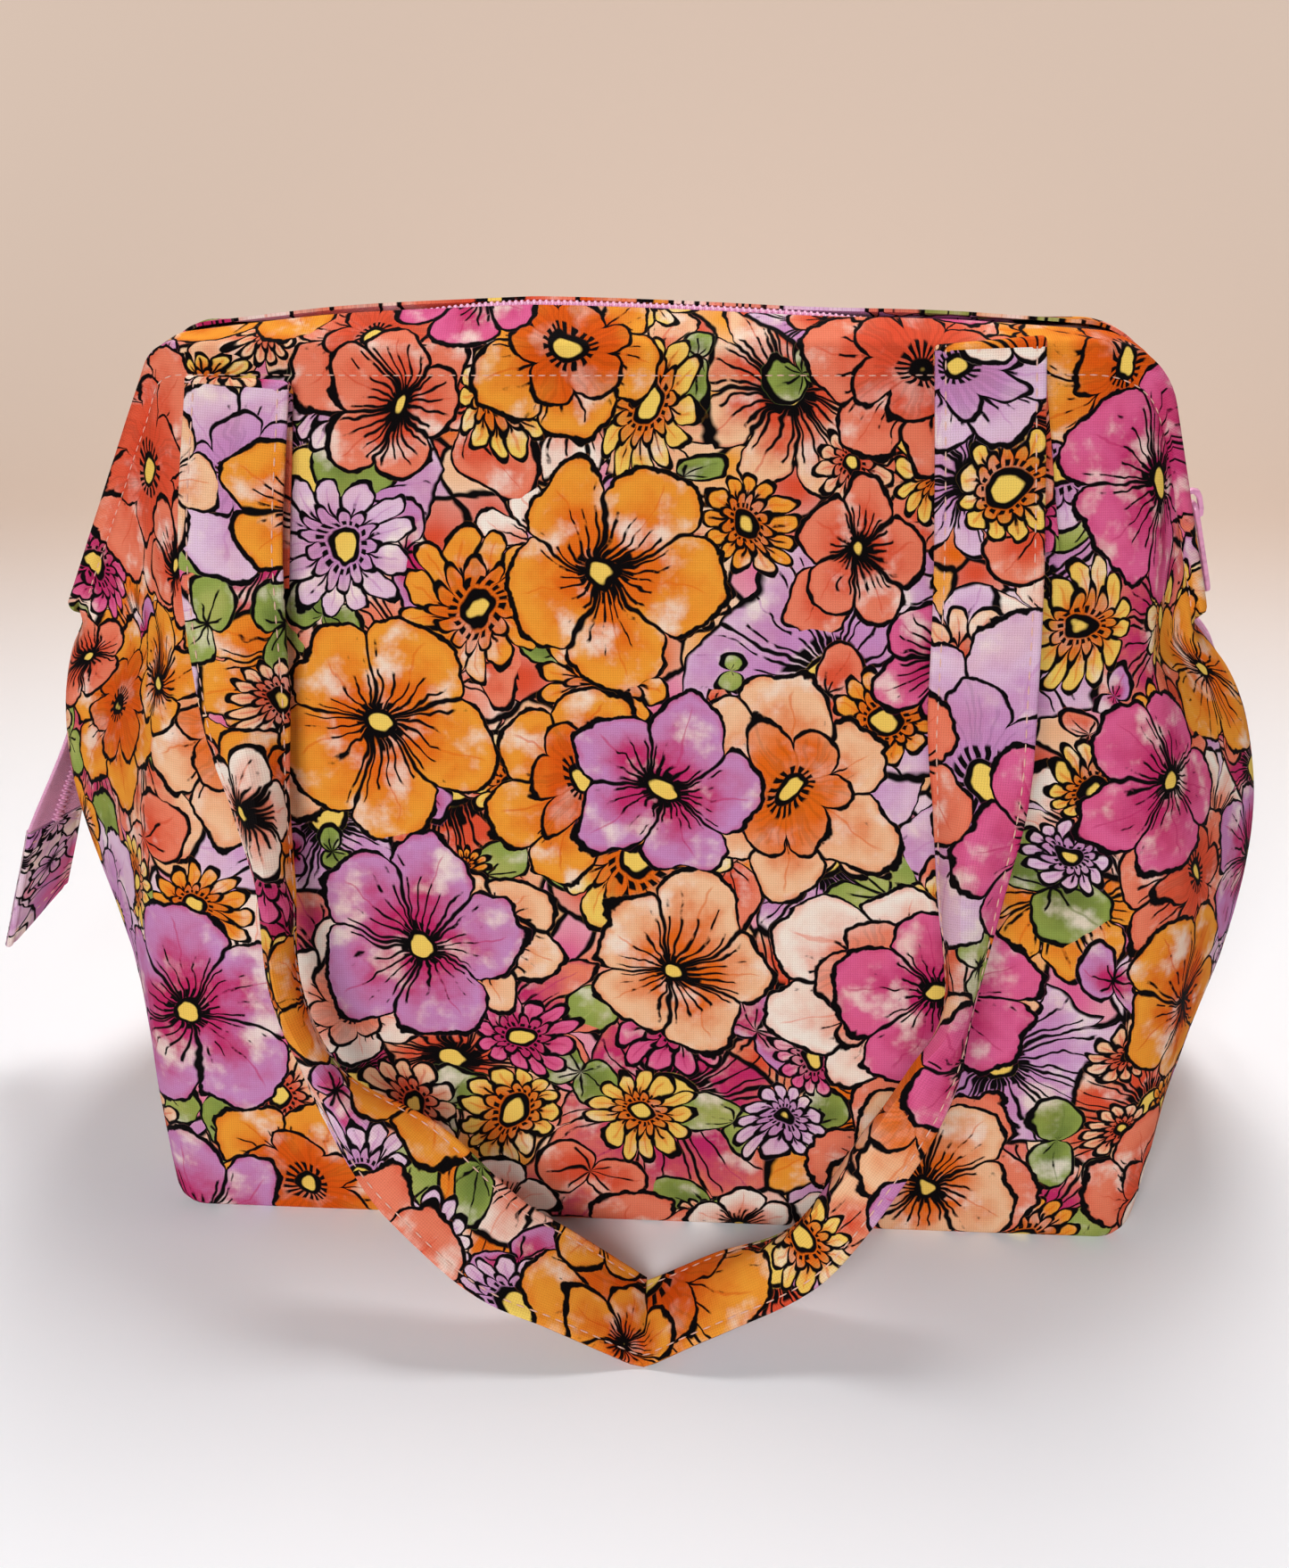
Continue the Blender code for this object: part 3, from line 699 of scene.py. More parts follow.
@dataclass
class Finishes:
    """Every material of the bag, made once."""

    warm: Material = field(default_factory=PrintCloth(Palette.WARM).material)
    lilac: Material = field(default_factory=PrintCloth(Palette.LILAC).material)
    lining: Material = field(
        default_factory=PlainCloth("lining_cloth", srgb(232, 188, 196), 0.0004).material)
    foam: Material = field(
        default_factory=PlainCloth("foam_cloth", srgb(238, 238, 234), 0.0009).material)
    tape: Material = field(
        default_factory=PlainCloth("zip_tape", srgb(232, 160, 202), 0.0007, True).material)
    coil: Material = field(
        default_factory=Solid("zip_coil", srgb(238, 172, 210), 0.38, grain=900.0).material)
    enamel: Material = field(
        default_factory=Solid("pink_enamel", srgb(236, 162, 204), 0.28, grain=500.0, coat=0.5).material)
    wire: Material = field(
        default_factory=Solid("steel_wire", srgb(176, 176, 180), 0.30, 1.0, 700.0).material)
    thread: Material = field(
        default_factory=Solid("sewing_thread", srgb(238, 190, 172), 0.62, grain=2500.0).material)


def add_piece(name: str, mesh: Mesh, finish: Material | None) -> Object:
    """Link a finished mesh as an object at the origin.

    Args:
        name: The piece's name.
        mesh: Its mesh, in the bag's frame.
        finish: Its material, or None where the mesh has one.

    Returns:
        The object.
    """
    if finish is not None:
        mesh.materials.clear()
        mesh.materials.append(finish)
    piece = bpy.data.objects.new(name, mesh)
    bpy.context.scene.collection.objects.link(piece)
    return piece


def mesh_from(name: str, points: np.ndarray, faces: Sequence[Sequence[int]], flat: np.ndarray | None,
              angle: float = 50.0) -> Mesh:
    """Make a smooth closed mesh with its faces turned outwards.

    Args:
        name: The mesh's name.
        points: The points.
        faces: The faces as point numbers.
        flat: The flat place of each point on its cloth, or None.
        angle: The angle in degrees above which an edge stays sharp.

    Returns:
        The mesh.
    """
    mesh = bpy.data.meshes.new(name)
    mesh.from_pydata([tuple(point) for point in points], [], faces)
    if flat is not None:
        layer = mesh.attributes.new(FLAT, "FLOAT_VECTOR", "POINT")
        layer.data.foreach_set("vector", np.asarray(flat, np.float32).ravel())
    work = bmesh.new()
    work.from_mesh(mesh)
    bmesh.ops.recalc_face_normals(work, faces=work.faces[:])
    work.to_mesh(mesh)
    work.free()
    mesh.shade_smooth()
    mesh.set_sharp_from_angle(angle=math.radians(angle))
    return mesh


def swept_mesh(name: str, points: Sequence[Vector], flats: Sequence[Triple], count: int) -> Mesh:
    """Make a closed tube with capped ends from rings of points.

    Args:
        name: The mesh's name.
        points: The points, ring after ring.
        flats: The flat place of each point on its cloth.
        count: How many rings there are.

    Returns:
        The mesh.
    """
    ring = len(points) // count
    faces = [list(range(ring)), list(range((count - 1) * ring, count * ring))]
    for step in range(count - 1):
        for corner in range(ring):
            turn = (corner + 1) % ring
            here = step * ring
            faces.append((here + corner, here + turn, here + ring + turn, here + ring + corner))
    return mesh_from(name, np.array(points), faces, np.array(flats))


def curve_through(values: Sequence[Vector], steps: int) -> list[Vector]:
    """Read a smooth curve through vectors.

    Args:
        values: The vectors to pass through.
        steps: How many steps lie between each two.

    Returns:
        The vectors along the curve.
    """
    smooth = []
    for index in range(len(values) - 1):
        before = values[max(index - 1, 0)]
        start = values[index]
        end = values[index + 1]
        after = values[min(index + 2, len(values) - 1)]
        for step in range(steps):
            t = step / steps
            smooth.append(0.5 * (2 * start + (end - before) * t
                                 + (2 * before - 5 * start + 4 * end - after) * t ** 2
                                 + (3 * start - before - 3 * end + after) * t ** 3))
    smooth.append(values[-1])
    return smooth


def walked(places: Sequence[Vector]) -> Iterator[tuple[Vector, Vector, float]]:
    """Walk along places.

    Args:
        places: The places in order.

    Yields:
        Each place with the direction there and the distance from the start.
    """
    last = len(places) - 1
    along = 0.0
    for step, place in enumerate(places):
        before = places[max(step - 1, 0)]
        along += (place - before).length
        yield place, (places[min(step + 1, last)] - before).normalized(), along


def row_between(start: tuple[Vector, Vector], end: tuple[Vector, Vector], steps: int) -> Line:
    """Return a straight line between two places, facing as the first does."""
    return [(start[0].lerp(end[0], step / steps), start[1]) for step in range(steps + 1)]


def cut_at(start: tuple[float, float], side: Side) -> tuple[float, float]:
    """Return where on the cloth the piece of one side was cut."""
    return start[0] + CUT_STEP * side, start[1]


@dataclass(frozen=True)
class Bead:
    """A stitch or a zip tooth.

    Args:
        pitch: The distance from one to the next.
        size: Half its length, width and height.
    """

    pitch: float
    size: Triple


class BeadRow(Nodes):
    """A Geometry Nodes tree that strings rounded beads along lines: stitches and zip teeth."""

    def __init__(self) -> None:
        """Build the tree with its named inputs."""
        super().__init__(bpy.data.node_groups.new("bead_row", "GeometryNodeTree"))
        self._opening("Geometry", "Geometry")
        self.pitch = self._opening("Pitch", "Float")
        self.size = self._opening("Size", "Vector")
        self.finish = self._opening("Finish", "Material")
        self._opening("Geometry", "Geometry", "OUTPUT")
        enter = self.node("NodeGroupInput")
        line = self.node("GeometryNodeMeshToCurve", {}, {0: enter.outputs["Geometry"]})
        spots = self.node("GeometryNodeCurveToPoints", {"mode": "LENGTH"},
                          {"Curve": line.outputs[0], "Length": enter.outputs["Pitch"]})
        facing = self.node("GeometryNodeInputNamedAttribute", {"data_type": "FLOAT_VECTOR"},
                           {"Name": FACING})
        ahead = self.node("FunctionNodeAlignRotationToVector", {"axis": "X"},
                          {"Vector": spots.outputs["Tangent"]})
        turned = self.node("FunctionNodeAlignRotationToVector", {"axis": "Z", "pivot_axis": "X"},
                           {"Rotation": ahead.outputs[0], "Vector": facing.outputs[0]})
        bead = self.node("GeometryNodeMeshUVSphere", {}, {"Segments": 8, "Rings": 5, "Radius": 1.0})
        strung = self.node("GeometryNodeInstanceOnPoints", {}, {
            "Points": spots.outputs["Points"], "Instance": bead.outputs["Mesh"],
            "Rotation": turned.outputs[0], "Scale": enter.outputs["Size"]})
        real = self.node("GeometryNodeRealizeInstances", {}, {0: strung.outputs[0]})
        round_off = self.node("GeometryNodeSetShadeSmooth", {}, {0: real.outputs[0]})
        dressed = self.node("GeometryNodeSetMaterial", {}, {
            "Geometry": round_off.outputs[0], "Material": enter.outputs["Finish"]})
        self.node("NodeGroupOutput", {}, {0: dressed.outputs[0]})

    def _opening(self, name: str, kind: str, way: str = "INPUT") -> str:
        """Add an input or output to the tree and return its identifier."""
        kind = f"NodeSocket{kind}"
        return self.tree.interface.new_socket(name, in_out=way, socket_type=kind).identifier

    def string(self, name: str, lines: Sequence[Line], bead: Bead, finish: Material) -> Object:
        """String beads along lines and return them as a plain mesh object.

        Args:
            name: The piece's name.
            lines: Lines of points with the direction that a bead's top faces.
            bead: What is strung.
            finish: The beads' material.

        Returns:
            The object.
        """
        points = [point for line in lines for point, _ in line]
        facings = [facing for line in lines for _, facing in line]
        edges = []
        for line in lines:
            first = edges[-1][1] + 1 if edges else 0
            edges += [(first + step, first + step + 1) for step in range(len(line) - 1)]
        mesh = bpy.data.meshes.new(name + "_line")
        mesh.from_pydata([tuple(point) for point in points], edges, [])
        layer = mesh.attributes.new(FACING, "FLOAT_VECTOR", "POINT")
        layer.data.foreach_set("vector", np.array(facings, np.float32).ravel())
        source = add_piece(name + "_line", mesh, None)
        step = source.modifiers.new("bead_row", "NODES")
        step.node_group = self.tree
        step[self.pitch] = bead.pitch
        step[self.size] = bead.size
        step[self.finish] = finish
        graph = bpy.context.evaluated_depsgraph_get()
        made = bpy.data.meshes.new_from_object(source.evaluated_get(graph), depsgraph=graph)
        made.name = name
        bpy.data.objects.remove(source)
        return add_piece(name, made, None)


@dataclass(frozen=True)
class EndSizes:
    """Sizes that differ between the two ends of the bag."""

    half_top: float
    bend_radius: float
    splay: float
    zip_leg: float
    bulge: float
    fold_drop: float
    sewn_tilt: float


@dataclass(frozen=True)
class BagForm:
    """The shape that every cloth piece follows, front half; the back is its mirror image."""

    ends: dict = field(default_factory=lambda: {
        Side.LEFT: EndSizes(0.113, 0.008, math.radians(27.5), 0.079, 0.0235, 0.006, math.radians(4.0)),
        Side.RIGHT: EndSizes(0.106, 0.018, math.radians(17.0), 0.0625, 0.031, -0.002, math.radians(8.0)),
    })
    base_length: float = 0.264
    base_depth: float = 0.152
    base_corner: float = 0.010
    base_edge: float = 0.0042
    front_bulge: float = 0.005
    corner_swell: float = 0.35
    fullness: float = 0.7
    frame_height: float = 0.2215
    spread: float = 0.0125
    crease: float = 0.0031
    crest_angle: float = math.radians(60.0)
    hem_half: float = 0.0055
    ridge_rise: float = 0.0095
    ridge_peak: float = -0.028
    ridge_fall: float = 1.4
    leg_rise: float = 0.0022
    zip_margin: float = 0.0083
    end_sink: float = 0.0016
    sink_start: float = 0.3
    sink_reach: float = 0.45

    def swell(self, share: float) -> float:
        """Return how far a side has swelled at a share of its height."""
        return max(0.0, 4.0 * share * (1.0 - share)) ** self.fullness

    def frame_place(self, station: Station) -> tuple[Vector, Vector]:
        """Return the wire's place in the middle plane and its outward normal.

        Args:
            station: The station.

        Returns:
            The place and the normal.
        """
        side, zone, share = station
        end = self.ends[side]
        if zone is Zone.TOP:
            return Vector((side * share * end.half_top, 0, self.frame_height)), Vector((0, 0, 1))
        angle = mix(math.pi / 2, end.splay, share if zone is Zone.BEND else 1.0)
        normal = Vector((math.cos(angle), 0, math.sin(angle)))
        point = Vector((end.half_top, 0, self.frame_height - end.bend_radius)) + normal * end.bend_radius
        if zone is Zone.LEG:
            point += Vector((math.sin(end.splay), 0, -math.cos(end.splay))) * end.zip_leg * share
        return Vector((side * point.x, 0, point.z)), Vector((side * normal.x, 0, normal.z))

    def base_place(self, station: Station) -> tuple[Vector, Vector]:
        """Return the base outline and its inward direction at one station.

        Args:
            station: The station.

        Returns:
            The place and the inward direction.
        """
        side, zone, share = station
        straight_x = self.base_length / 2 - self.base_corner
        straight_y = self.base_depth / 2 - self.base_corner
        if zone is Zone.TOP:
            return Vector((side * share * straight_x, -self.base_depth / 2, 0)), Vector((0, 1, 0))
        if zone is Zone.LEG:
            point = Vector((side * self.base_length / 2, -straight_y * (1.0 - share), 0))
            return point, Vector((-side, 0, 0))
        angle = mix(-math.pi / 2, 0.0, share)
        x = straight_x + self.base_corner * math.cos(angle)
        y = -straight_y + self.base_corner * math.sin(angle)
        return Vector((side * x, y, 0)), Vector((-side * math.cos(angle), -math.sin(angle), 0))

    def gape(self, station: Station) -> float:
        """Return 1 along the zip, falling to 0 where the two panels meet at its end.

        Args:
            station: The station.

        Returns:
            How wide the mouth is there, as a share.
        """
        side, zone, share = station
        if zone is not Zone.LEG:
            return 1.0
        return min(1.0, (1.0 - share) * self.ends[side].zip_leg / self.zip_margin)

    def hem_rise(self, station: Station) -> float:
        """Return how far the zip hem stands above the wire.

        Args:
            station: The station.

        Returns:
            The height in metres.
        """
        side, zone, share = station
        if zone is not Zone.TOP:
            return self.leg_rise
        x = side * share * self.ends[side].half_top
        half = Side.LEFT if x < self.ridge_peak else Side.RIGHT
        fall = (x - self.ridge_peak) / (half * self.ends[half].half_top - self.ridge_peak)
        return mix(self.ridge_rise, self.leg_rise, max(0.0, fall) ** self.ridge_fall)

    def zip_sink(self, station: Station) -> float:
        """Return how far the zip lies under its hems, deepest near the ends of the mouth.

        Args:
            station: The station.

        Returns:
            The depth in metres.
        """
        _, zone, share = station
        if zone is Zone.LEG:
            return 0.0
        if zone is Zone.BEND:
            return self.end_sink * (1.0 - share)
        ease = min(1.0, max(0.0, (share - self.sink_start) / self.sink_reach))
        return self.end_sink * ease * ease * (3.0 - 2.0 * ease)

    def side_share(self, station: Station) -> float:
        """Return how much of the side's swelling a station takes.

        Args:
            station: The station.

        Returns:
            The share of the swelling.
        """
        _, zone, share = station
        if zone is Zone.LEG:
            return mix(self.corner_swell, 1.0, math.sin(share * math.pi / 2))
        return self.corner_swell * share if zone is Zone.BEND else 0.0

    def wall_place(self, station: Station, height: float) -> Vector:
        """Return a place on the panel between the base edge and the wire's shoulder.

        Args:
            station: The station.
            height: The share of the way up.

        Returns:
            The place.
        """
        side, zone, share = station
        foot = self.base_place(station)[0]
        head = self.frame_place(station)[0]
        head.y = -(self.spread + self.crease) * self.gape(station)
        point = foot.lerp(head, height)
        if zone is Zone.TOP:
            point.y -= self.front_bulge * self.swell(height) * (1.0 - share * share)
        zip_end = self.frame_place((side, Zone.LEG, 1.0))[0].z
        swell = self.swell(min(1.0, point.z / zip_end))
        point.x += side * self.ends[side].bulge * swell * self.side_share(station)
        return point

    def depth(self, x: float, z: float) -> float:
        """Return how far the front panel stands from the middle plane at a place on its face.

        Args:
            x: The place along the bag.
            z: Its height.

        Returns:
            The distance in metres.
        """
        side = Side.LEFT if x < 0 else Side.RIGHT
        share = min(1.0, abs(x) / self.ends[side].half_top)
        return -self.wall_place((side, Zone.TOP, share), min(1.0, max(0.0, z / self.frame_height))).y

    def stations(self, top: int, bend: int, leg: int) -> list[Station]:
        """List stations from the left seam, over the mouth, to the right seam.

        Args:
            top: Steps along half the mouth.
            bend: Steps round a bend.
            leg: Steps down a leg.

        Returns:
            The stations in order.
        """
        halves = []
        for side in Side:
            half = [(side, Zone.TOP, step / top) for step in range(top + 1)]
            half += [(side, Zone.BEND, (step + 1) / bend) for step in range(bend)]
            half += [(side, Zone.LEG, (step + 1) / leg) for step in range(leg)]
            halves.append(half)
        return list(reversed(halves[0])) + halves[1][1:]


@dataclass
class Grid:
    """A panel's surface as columns of points, with flat places on the cloth."""

    points: np.ndarray
    flat: np.ndarray
    normals: np.ndarray


@dataclass
class Assembly:
    """Pieces that are built together.

    Args:
        form: The bag's shape.
        finishes: The materials.
        beads: The maker of stitches and teeth.
    """

    form: BagForm
    finishes: Finishes
    beads: BeadRow

    def sew(self, name: str, lines: Sequence[Line], stitch: Bead, body: str) -> None:
        """Sew along lines on the printed cloth.

        Args:
            name: The piece's name.
            lines: The lines of points and facings.
            stitch: The stitch.
            body: The body that the stitches move with.
        """
        place_piece(self.beads.string(name, lines, stitch, self.finishes.thread), body, "print_cloth")


@dataclass
class Shell(Assembly):
    """The two sewn panels: printed outer cloth, foam and lining."""

    cloth: float = 0.0008
    foam_inset: float = 0.0012
    foam: float = 0.0026
    lining_inset: float = 0.0042
    lining: float = 0.0006
    seam: float = 0.00015
    casing_drop: float = 0.0040
    casing_depth: float = 0.0013
    casing_width: float = 0.0011
    billow: float = 0.0011
    ripple: float = 0.00028
    pucker: float = 0.00075
    seam_width: float = 0.0022
    seam_depth: float = 0.0011
    hem_curl: float = 0.8
    back_cut: float = 0.7
    base_rows: int = 5
    crest_rows: int = 6
    hem_rows: int = 8
    line_ends: int = 8
    thread_lift: float = 0.00015
    fine: tuple[int, int, int, int] = (66, 12, 34, 96)
    coarse: tuple[int, int, int, int] = (40, 8, 20, 48)
    foam_rows: int = 50
    lining_rows: int = 52
    stitch: Bead = Bead(0.0027, (0.0010, 0.00016, 0.00014))

    def grid(self, face: Face, top: int, bend: int, leg: int, rows: int) -> Grid:
        """Return one panel's outer surface with its folds and seams.

        Args:
            face: Which panel.
            top: Steps along half the mouth.
            bend: Steps round a bend.
            leg: Steps down a leg.
            rows: Steps up the wall.

        Returns:
            The surface.
        """
        form = self.form
        stations = form.stations(top, bend, leg)
        columns = [self._column(station, rows) for station in stations]
        points = self._relaxed(np.array(columns))
        middle = points.shape[1] // 2
        steps = np.linalg.norm(np.diff(points[:, middle], axis=0), axis=1)
        along = np.concatenate([[0.0], np.cumsum(steps)])
        along -= along[len(along) // 2]
        climbs = np.linalg.norm(np.diff(points, axis=1), axis=2)
        up = np.concatenate([np.zeros((len(points), 1)), np.cumsum(climbs, axis=1)], axis=1)
        up -= up[:, self.base_rows - 1:self.base_rows]
        flat = np.stack([np.repeat(along[:, None], up.shape[1], axis=1), up, np.zeros_like(up)], axis=2)
        flat[..., 0] += self.back_cut if face is Face.BACK else 0.0
        normals = self._normals(points)
        points = self._folded(points, normals, stations, face, up)
        normals = self._normals(points)
        points[..., 1] = np.minimum(points[..., 1], -self.seam)
        points[..., 2] = np.maximum(points[..., 2], 0.0)
        if face is Face.BACK:
            points[..., 1] *= -1
            normals[..., 1] *= -1
        return Grid(points, flat, normals)

    def _column(self, station: Station, rows: int) -> list[Triple]:
        """Return one column of the panel from the base to the hem.

        Args:
            station: The station.
            rows: Steps up the wall.

        Returns:
            The points.
        """
        form = self.form
        foot, inward = form.base_place(station)
        upward = (form.wall_place(station, 0.04) - foot).normalized()
        edge = form.base_edge
        column = []
        for step in range(self.base_rows):
            turn = math.radians(90 - 90 / (self.base_rows - 1) * step)
            column.append(foot + (inward + upward) * edge
                          - (inward * math.cos(turn) + upward * math.sin(turn)) * edge)
        low = edge / form.wall_place(station, 1.0).z
        column += [form.wall_place(station, mix(low, 1.0, (step + 1) / rows)) for step in range(rows)]
        place, normal = form.frame_place(station)
        gape = form.gape(station)
        for step in range(1, self.crest_rows + 1):
            turn = form.crest_angle * step / self.crest_rows
            point = place + normal * form.crease * math.sin(turn)
            point.y = -(form.spread + form.crease * math.cos(turn)) * gape
            column.append(point)
        crest = column[-1]
        hem = place + normal * (form.hem_rise(station) + form.zip_sink(station) * self.hem_curl)
        hem.y = -form.hem_half * gape
        column += [crest.lerp(hem, (step + 1) / self.hem_rows) for step in range(self.hem_rows)]
        return [tuple(point) for point in column]

    def _relaxed(self, points: np.ndarray, rounds: int = 6) -> np.ndarray:
        """Ease hard lines out of a grid, holding its borders.

        Args:
            points: The grid.
            rounds: How many passes are made.

        Returns:
            The eased grid.
        """
        eased = points.copy()
        wall = eased[:, self.base_rows:-self.crest_rows - self.hem_rows]
        for _ in range(rounds):
            side = (wall[:-2] + wall[2:]) / 2
            wall[1:-1] += (side - wall[1:-1]) * 0.5
        return eased

    @staticmethod
    def _normals(points: np.ndarray) -> np.ndarray:
        """Return unit normals of a front grid, pointing out of the bag.

        Args:
            points: The grid.

        Returns:
            The normals.
        """
        along = np.gradient(points, axis=0)
        up = np.gradient(points, axis=1)
        normals = np.cross(along, up)
        for end in (0, -1):
            normals[end] = normals[1 if end == 0 else -2]
            normals[end, :, 1] = 0.0
        lengths = np.linalg.norm(normals, axis=2, keepdims=True)
        return normals / np.maximum(lengths, 1e-12)

    def _folded(self, points: np.ndarray, normals: np.ndarray, stations: Sequence[Station], face: Face,
                up: np.ndarray) -> np.ndarray:
        """Press in the casing's seam and let the cloth billow and pucker.

        Args:
            points: The smooth grid.
            normals: Its normals.
            stations: The station of each column.
            face: Which panel.
            up: The distance up each column.

        Returns:
            The folded grid.
        """
        shoulder = up.shape[1] - 1 - self.crest_rows - self.hem_rows
        below = up[:, shoulder:shoulder + 1] - up
        inner = np.clip(below / 0.030, 0, 1) * np.clip(up / 0.035, 0, 1)
        push = np.zeros_like(up)
        for column, station in enumerate(stations):
            gape = self.form.gape(station)
            for row in range(up.shape[1]):
                x, y, z = points[column, row]
                spot = Vector((x, y * -face, z))
                broad = noise.noise(spot * 17.0 + Vector((3.1, 0.4, 7.7)))
                fine = noise.noise(Vector((x * 75.0, spot.y * 75.0, z * 38.0)) + Vector((9.2, 4.4, 1.3)))
                push[column, row] = (broad * self.billow + fine * self.ripple) * inner[column, row]
                near = below[column, row]
                if -0.004 < near < 0.030:
                    tuck = noise.noise(Vector((x * 130.0, 5.0, (z + spot.y) * 12.0)))
                    fade = math.exp(-((near - 0.006) / 0.007) ** 2)
                    push[column, row] += tuck * self.pucker * fade
                    groove = math.exp(-((near - self.casing_drop) / self.casing_width) ** 2)
                    push[column, row] -= self.casing_depth * groove * gape
        width = np.abs(points[:, :, 1])
        seam = np.exp(-(width / self.seam_width) ** 2)
        seam = seam * np.clip(below / 0.012, 0, 1) * np.clip(up / 0.01, 0, 1)
        push -= self.seam_depth * seam
        return points + normals * push[..., None]

    def layer(self, name: str, grid: Grid, start: float, thickness: float, rows: int | None,
              finish: Material) -> Object:
        """Make a closed cloth layer at a depth under a surface.

        Args:
            name: The piece's name.
            grid: The bag's outer surface.
            start: How deep the layer's outside lies.
            thickness: Its thickness.
            rows: How many rows from the base it takes, or None for all.
            finish: Its material.

        Returns:
            The object.
        """
        shape = grid.points[:, :rows]
        normals = grid.normals[:, :rows]
        flat = grid.flat[:, :rows]
        columns, height = shape.shape[:2]
        sheets = []
        for depth in (start, start + thickness):
            sheet = shape - normals * depth
            sign = np.sign(shape[columns // 2, height // 2, 1])
            sheet[..., 1] = np.maximum(sheet[..., 1] * sign, self.seam) * sign
            sheet[..., 2] = np.maximum(sheet[..., 2], depth)
            sheets.append(sheet.reshape(-1, 3))
        count = columns * height
        faces = []
        for sheet in range(2):
            at = sheet * count
            for column in range(columns - 1):
                for row in range(height - 1):
                    here = at + column * height + row
                    faces.append((here, here + height, here + height + 1, here + 1))
            faces.append([at + column * height for column in range(columns)])
        for column in range(columns - 1):
            here = column * height + height - 1
            faces.append((here, here + height, count + here + height, count + here))
        for column in (0, columns - 1):
            for row in range(height - 1):
                here = column * height + row
                faces.append((here, here + 1, count + here + 1, count + here))
        last = (columns - 1) * height
        faces.append((0, last, count + last, count))
        points = np.concatenate(sheets)
        places = np.concatenate([flat.reshape(-1, 3)] * 2)
        return add_piece(name, mesh_from(name, points, faces, places), finish)

    def casing_lines(self, grid: Grid) -> list[Line]:
        """Return the line of stitches that closes the wire's casing.

        Args:
            grid: The panel's surface.

        Returns:
            One line of points and facings.
        """
        shoulder = self.base_rows - 1 + self.fine[-1]
        line = []
        for column in range(self.line_ends, grid.points.shape[0] - self.line_ends):
            heights = grid.flat[column, :, 1]
            row = int(np.argmin(np.abs(heights - (heights[shoulder] - self.casing_drop))))
            normal = Vector(grid.normals[column, row])
            line.append((Vector(grid.points[column, row]) + normal * self.thread_lift, normal))
        return [line]

    def build(self) -> None:
        """Build every layer of both panels and the casing's stitches."""
        for face in Face:
            word = face.name.lower()
            grid = self.grid(face, *self.fine)
            outer = self.layer(f"outer_cloth_{word}", grid, 0.0, self.cloth, None, self.finishes.warm)
            place_piece(outer, "bag", "print_cloth", f"outer_{word}")
            self.sew(f"casing_stitches_{word}", self.casing_lines(grid), self.stitch, "bag")
            coarse = self.grid(face, *self.coarse)
            foam = self.layer(f"foam_pad_{word}", coarse, self.foam_inset, self.foam, self.foam_rows,
                              self.finishes.foam)
            place_piece(foam, "bag", "foam_cloth", f"foam_{word}")
            lining = self.layer(f"lining_cloth_{word}", coarse, self.lining_inset, self.lining,
                                self.lining_rows, self.finishes.lining)
            place_piece(lining, "bag", "lining_cloth", f"lining_{word}")


def place_piece(piece: Object, body: str, slot: str, *nodes: str) -> None:
    """Let a piece ride on a body and stand for nodes.

    Args:
        piece: The piece.
        body: The body it moves with.
        slot: The record's material slot; not used.
        nodes: The nodes it stands for.
    """
    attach(piece, body)
    if nodes:
        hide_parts(*nodes)
    LOG.info("%s: %d faces on %s", piece.name, len(piece.data.polygons), body)


@dataclass
class Section:
    """One cross-section of a strap or tape.

    Args:
        centre: The middle of the section.
        across: The direction from its left edge to its right one.
        run: The direction that the strap runs in.
        width: Its width along the cloth.
        fold: The angle that each half is folded back by, in radians.
        along: The distance from the strap's start.
    """

    centre: Vector
    across: Vector
    run: Vector
    width: float
    fold: float
    along: float


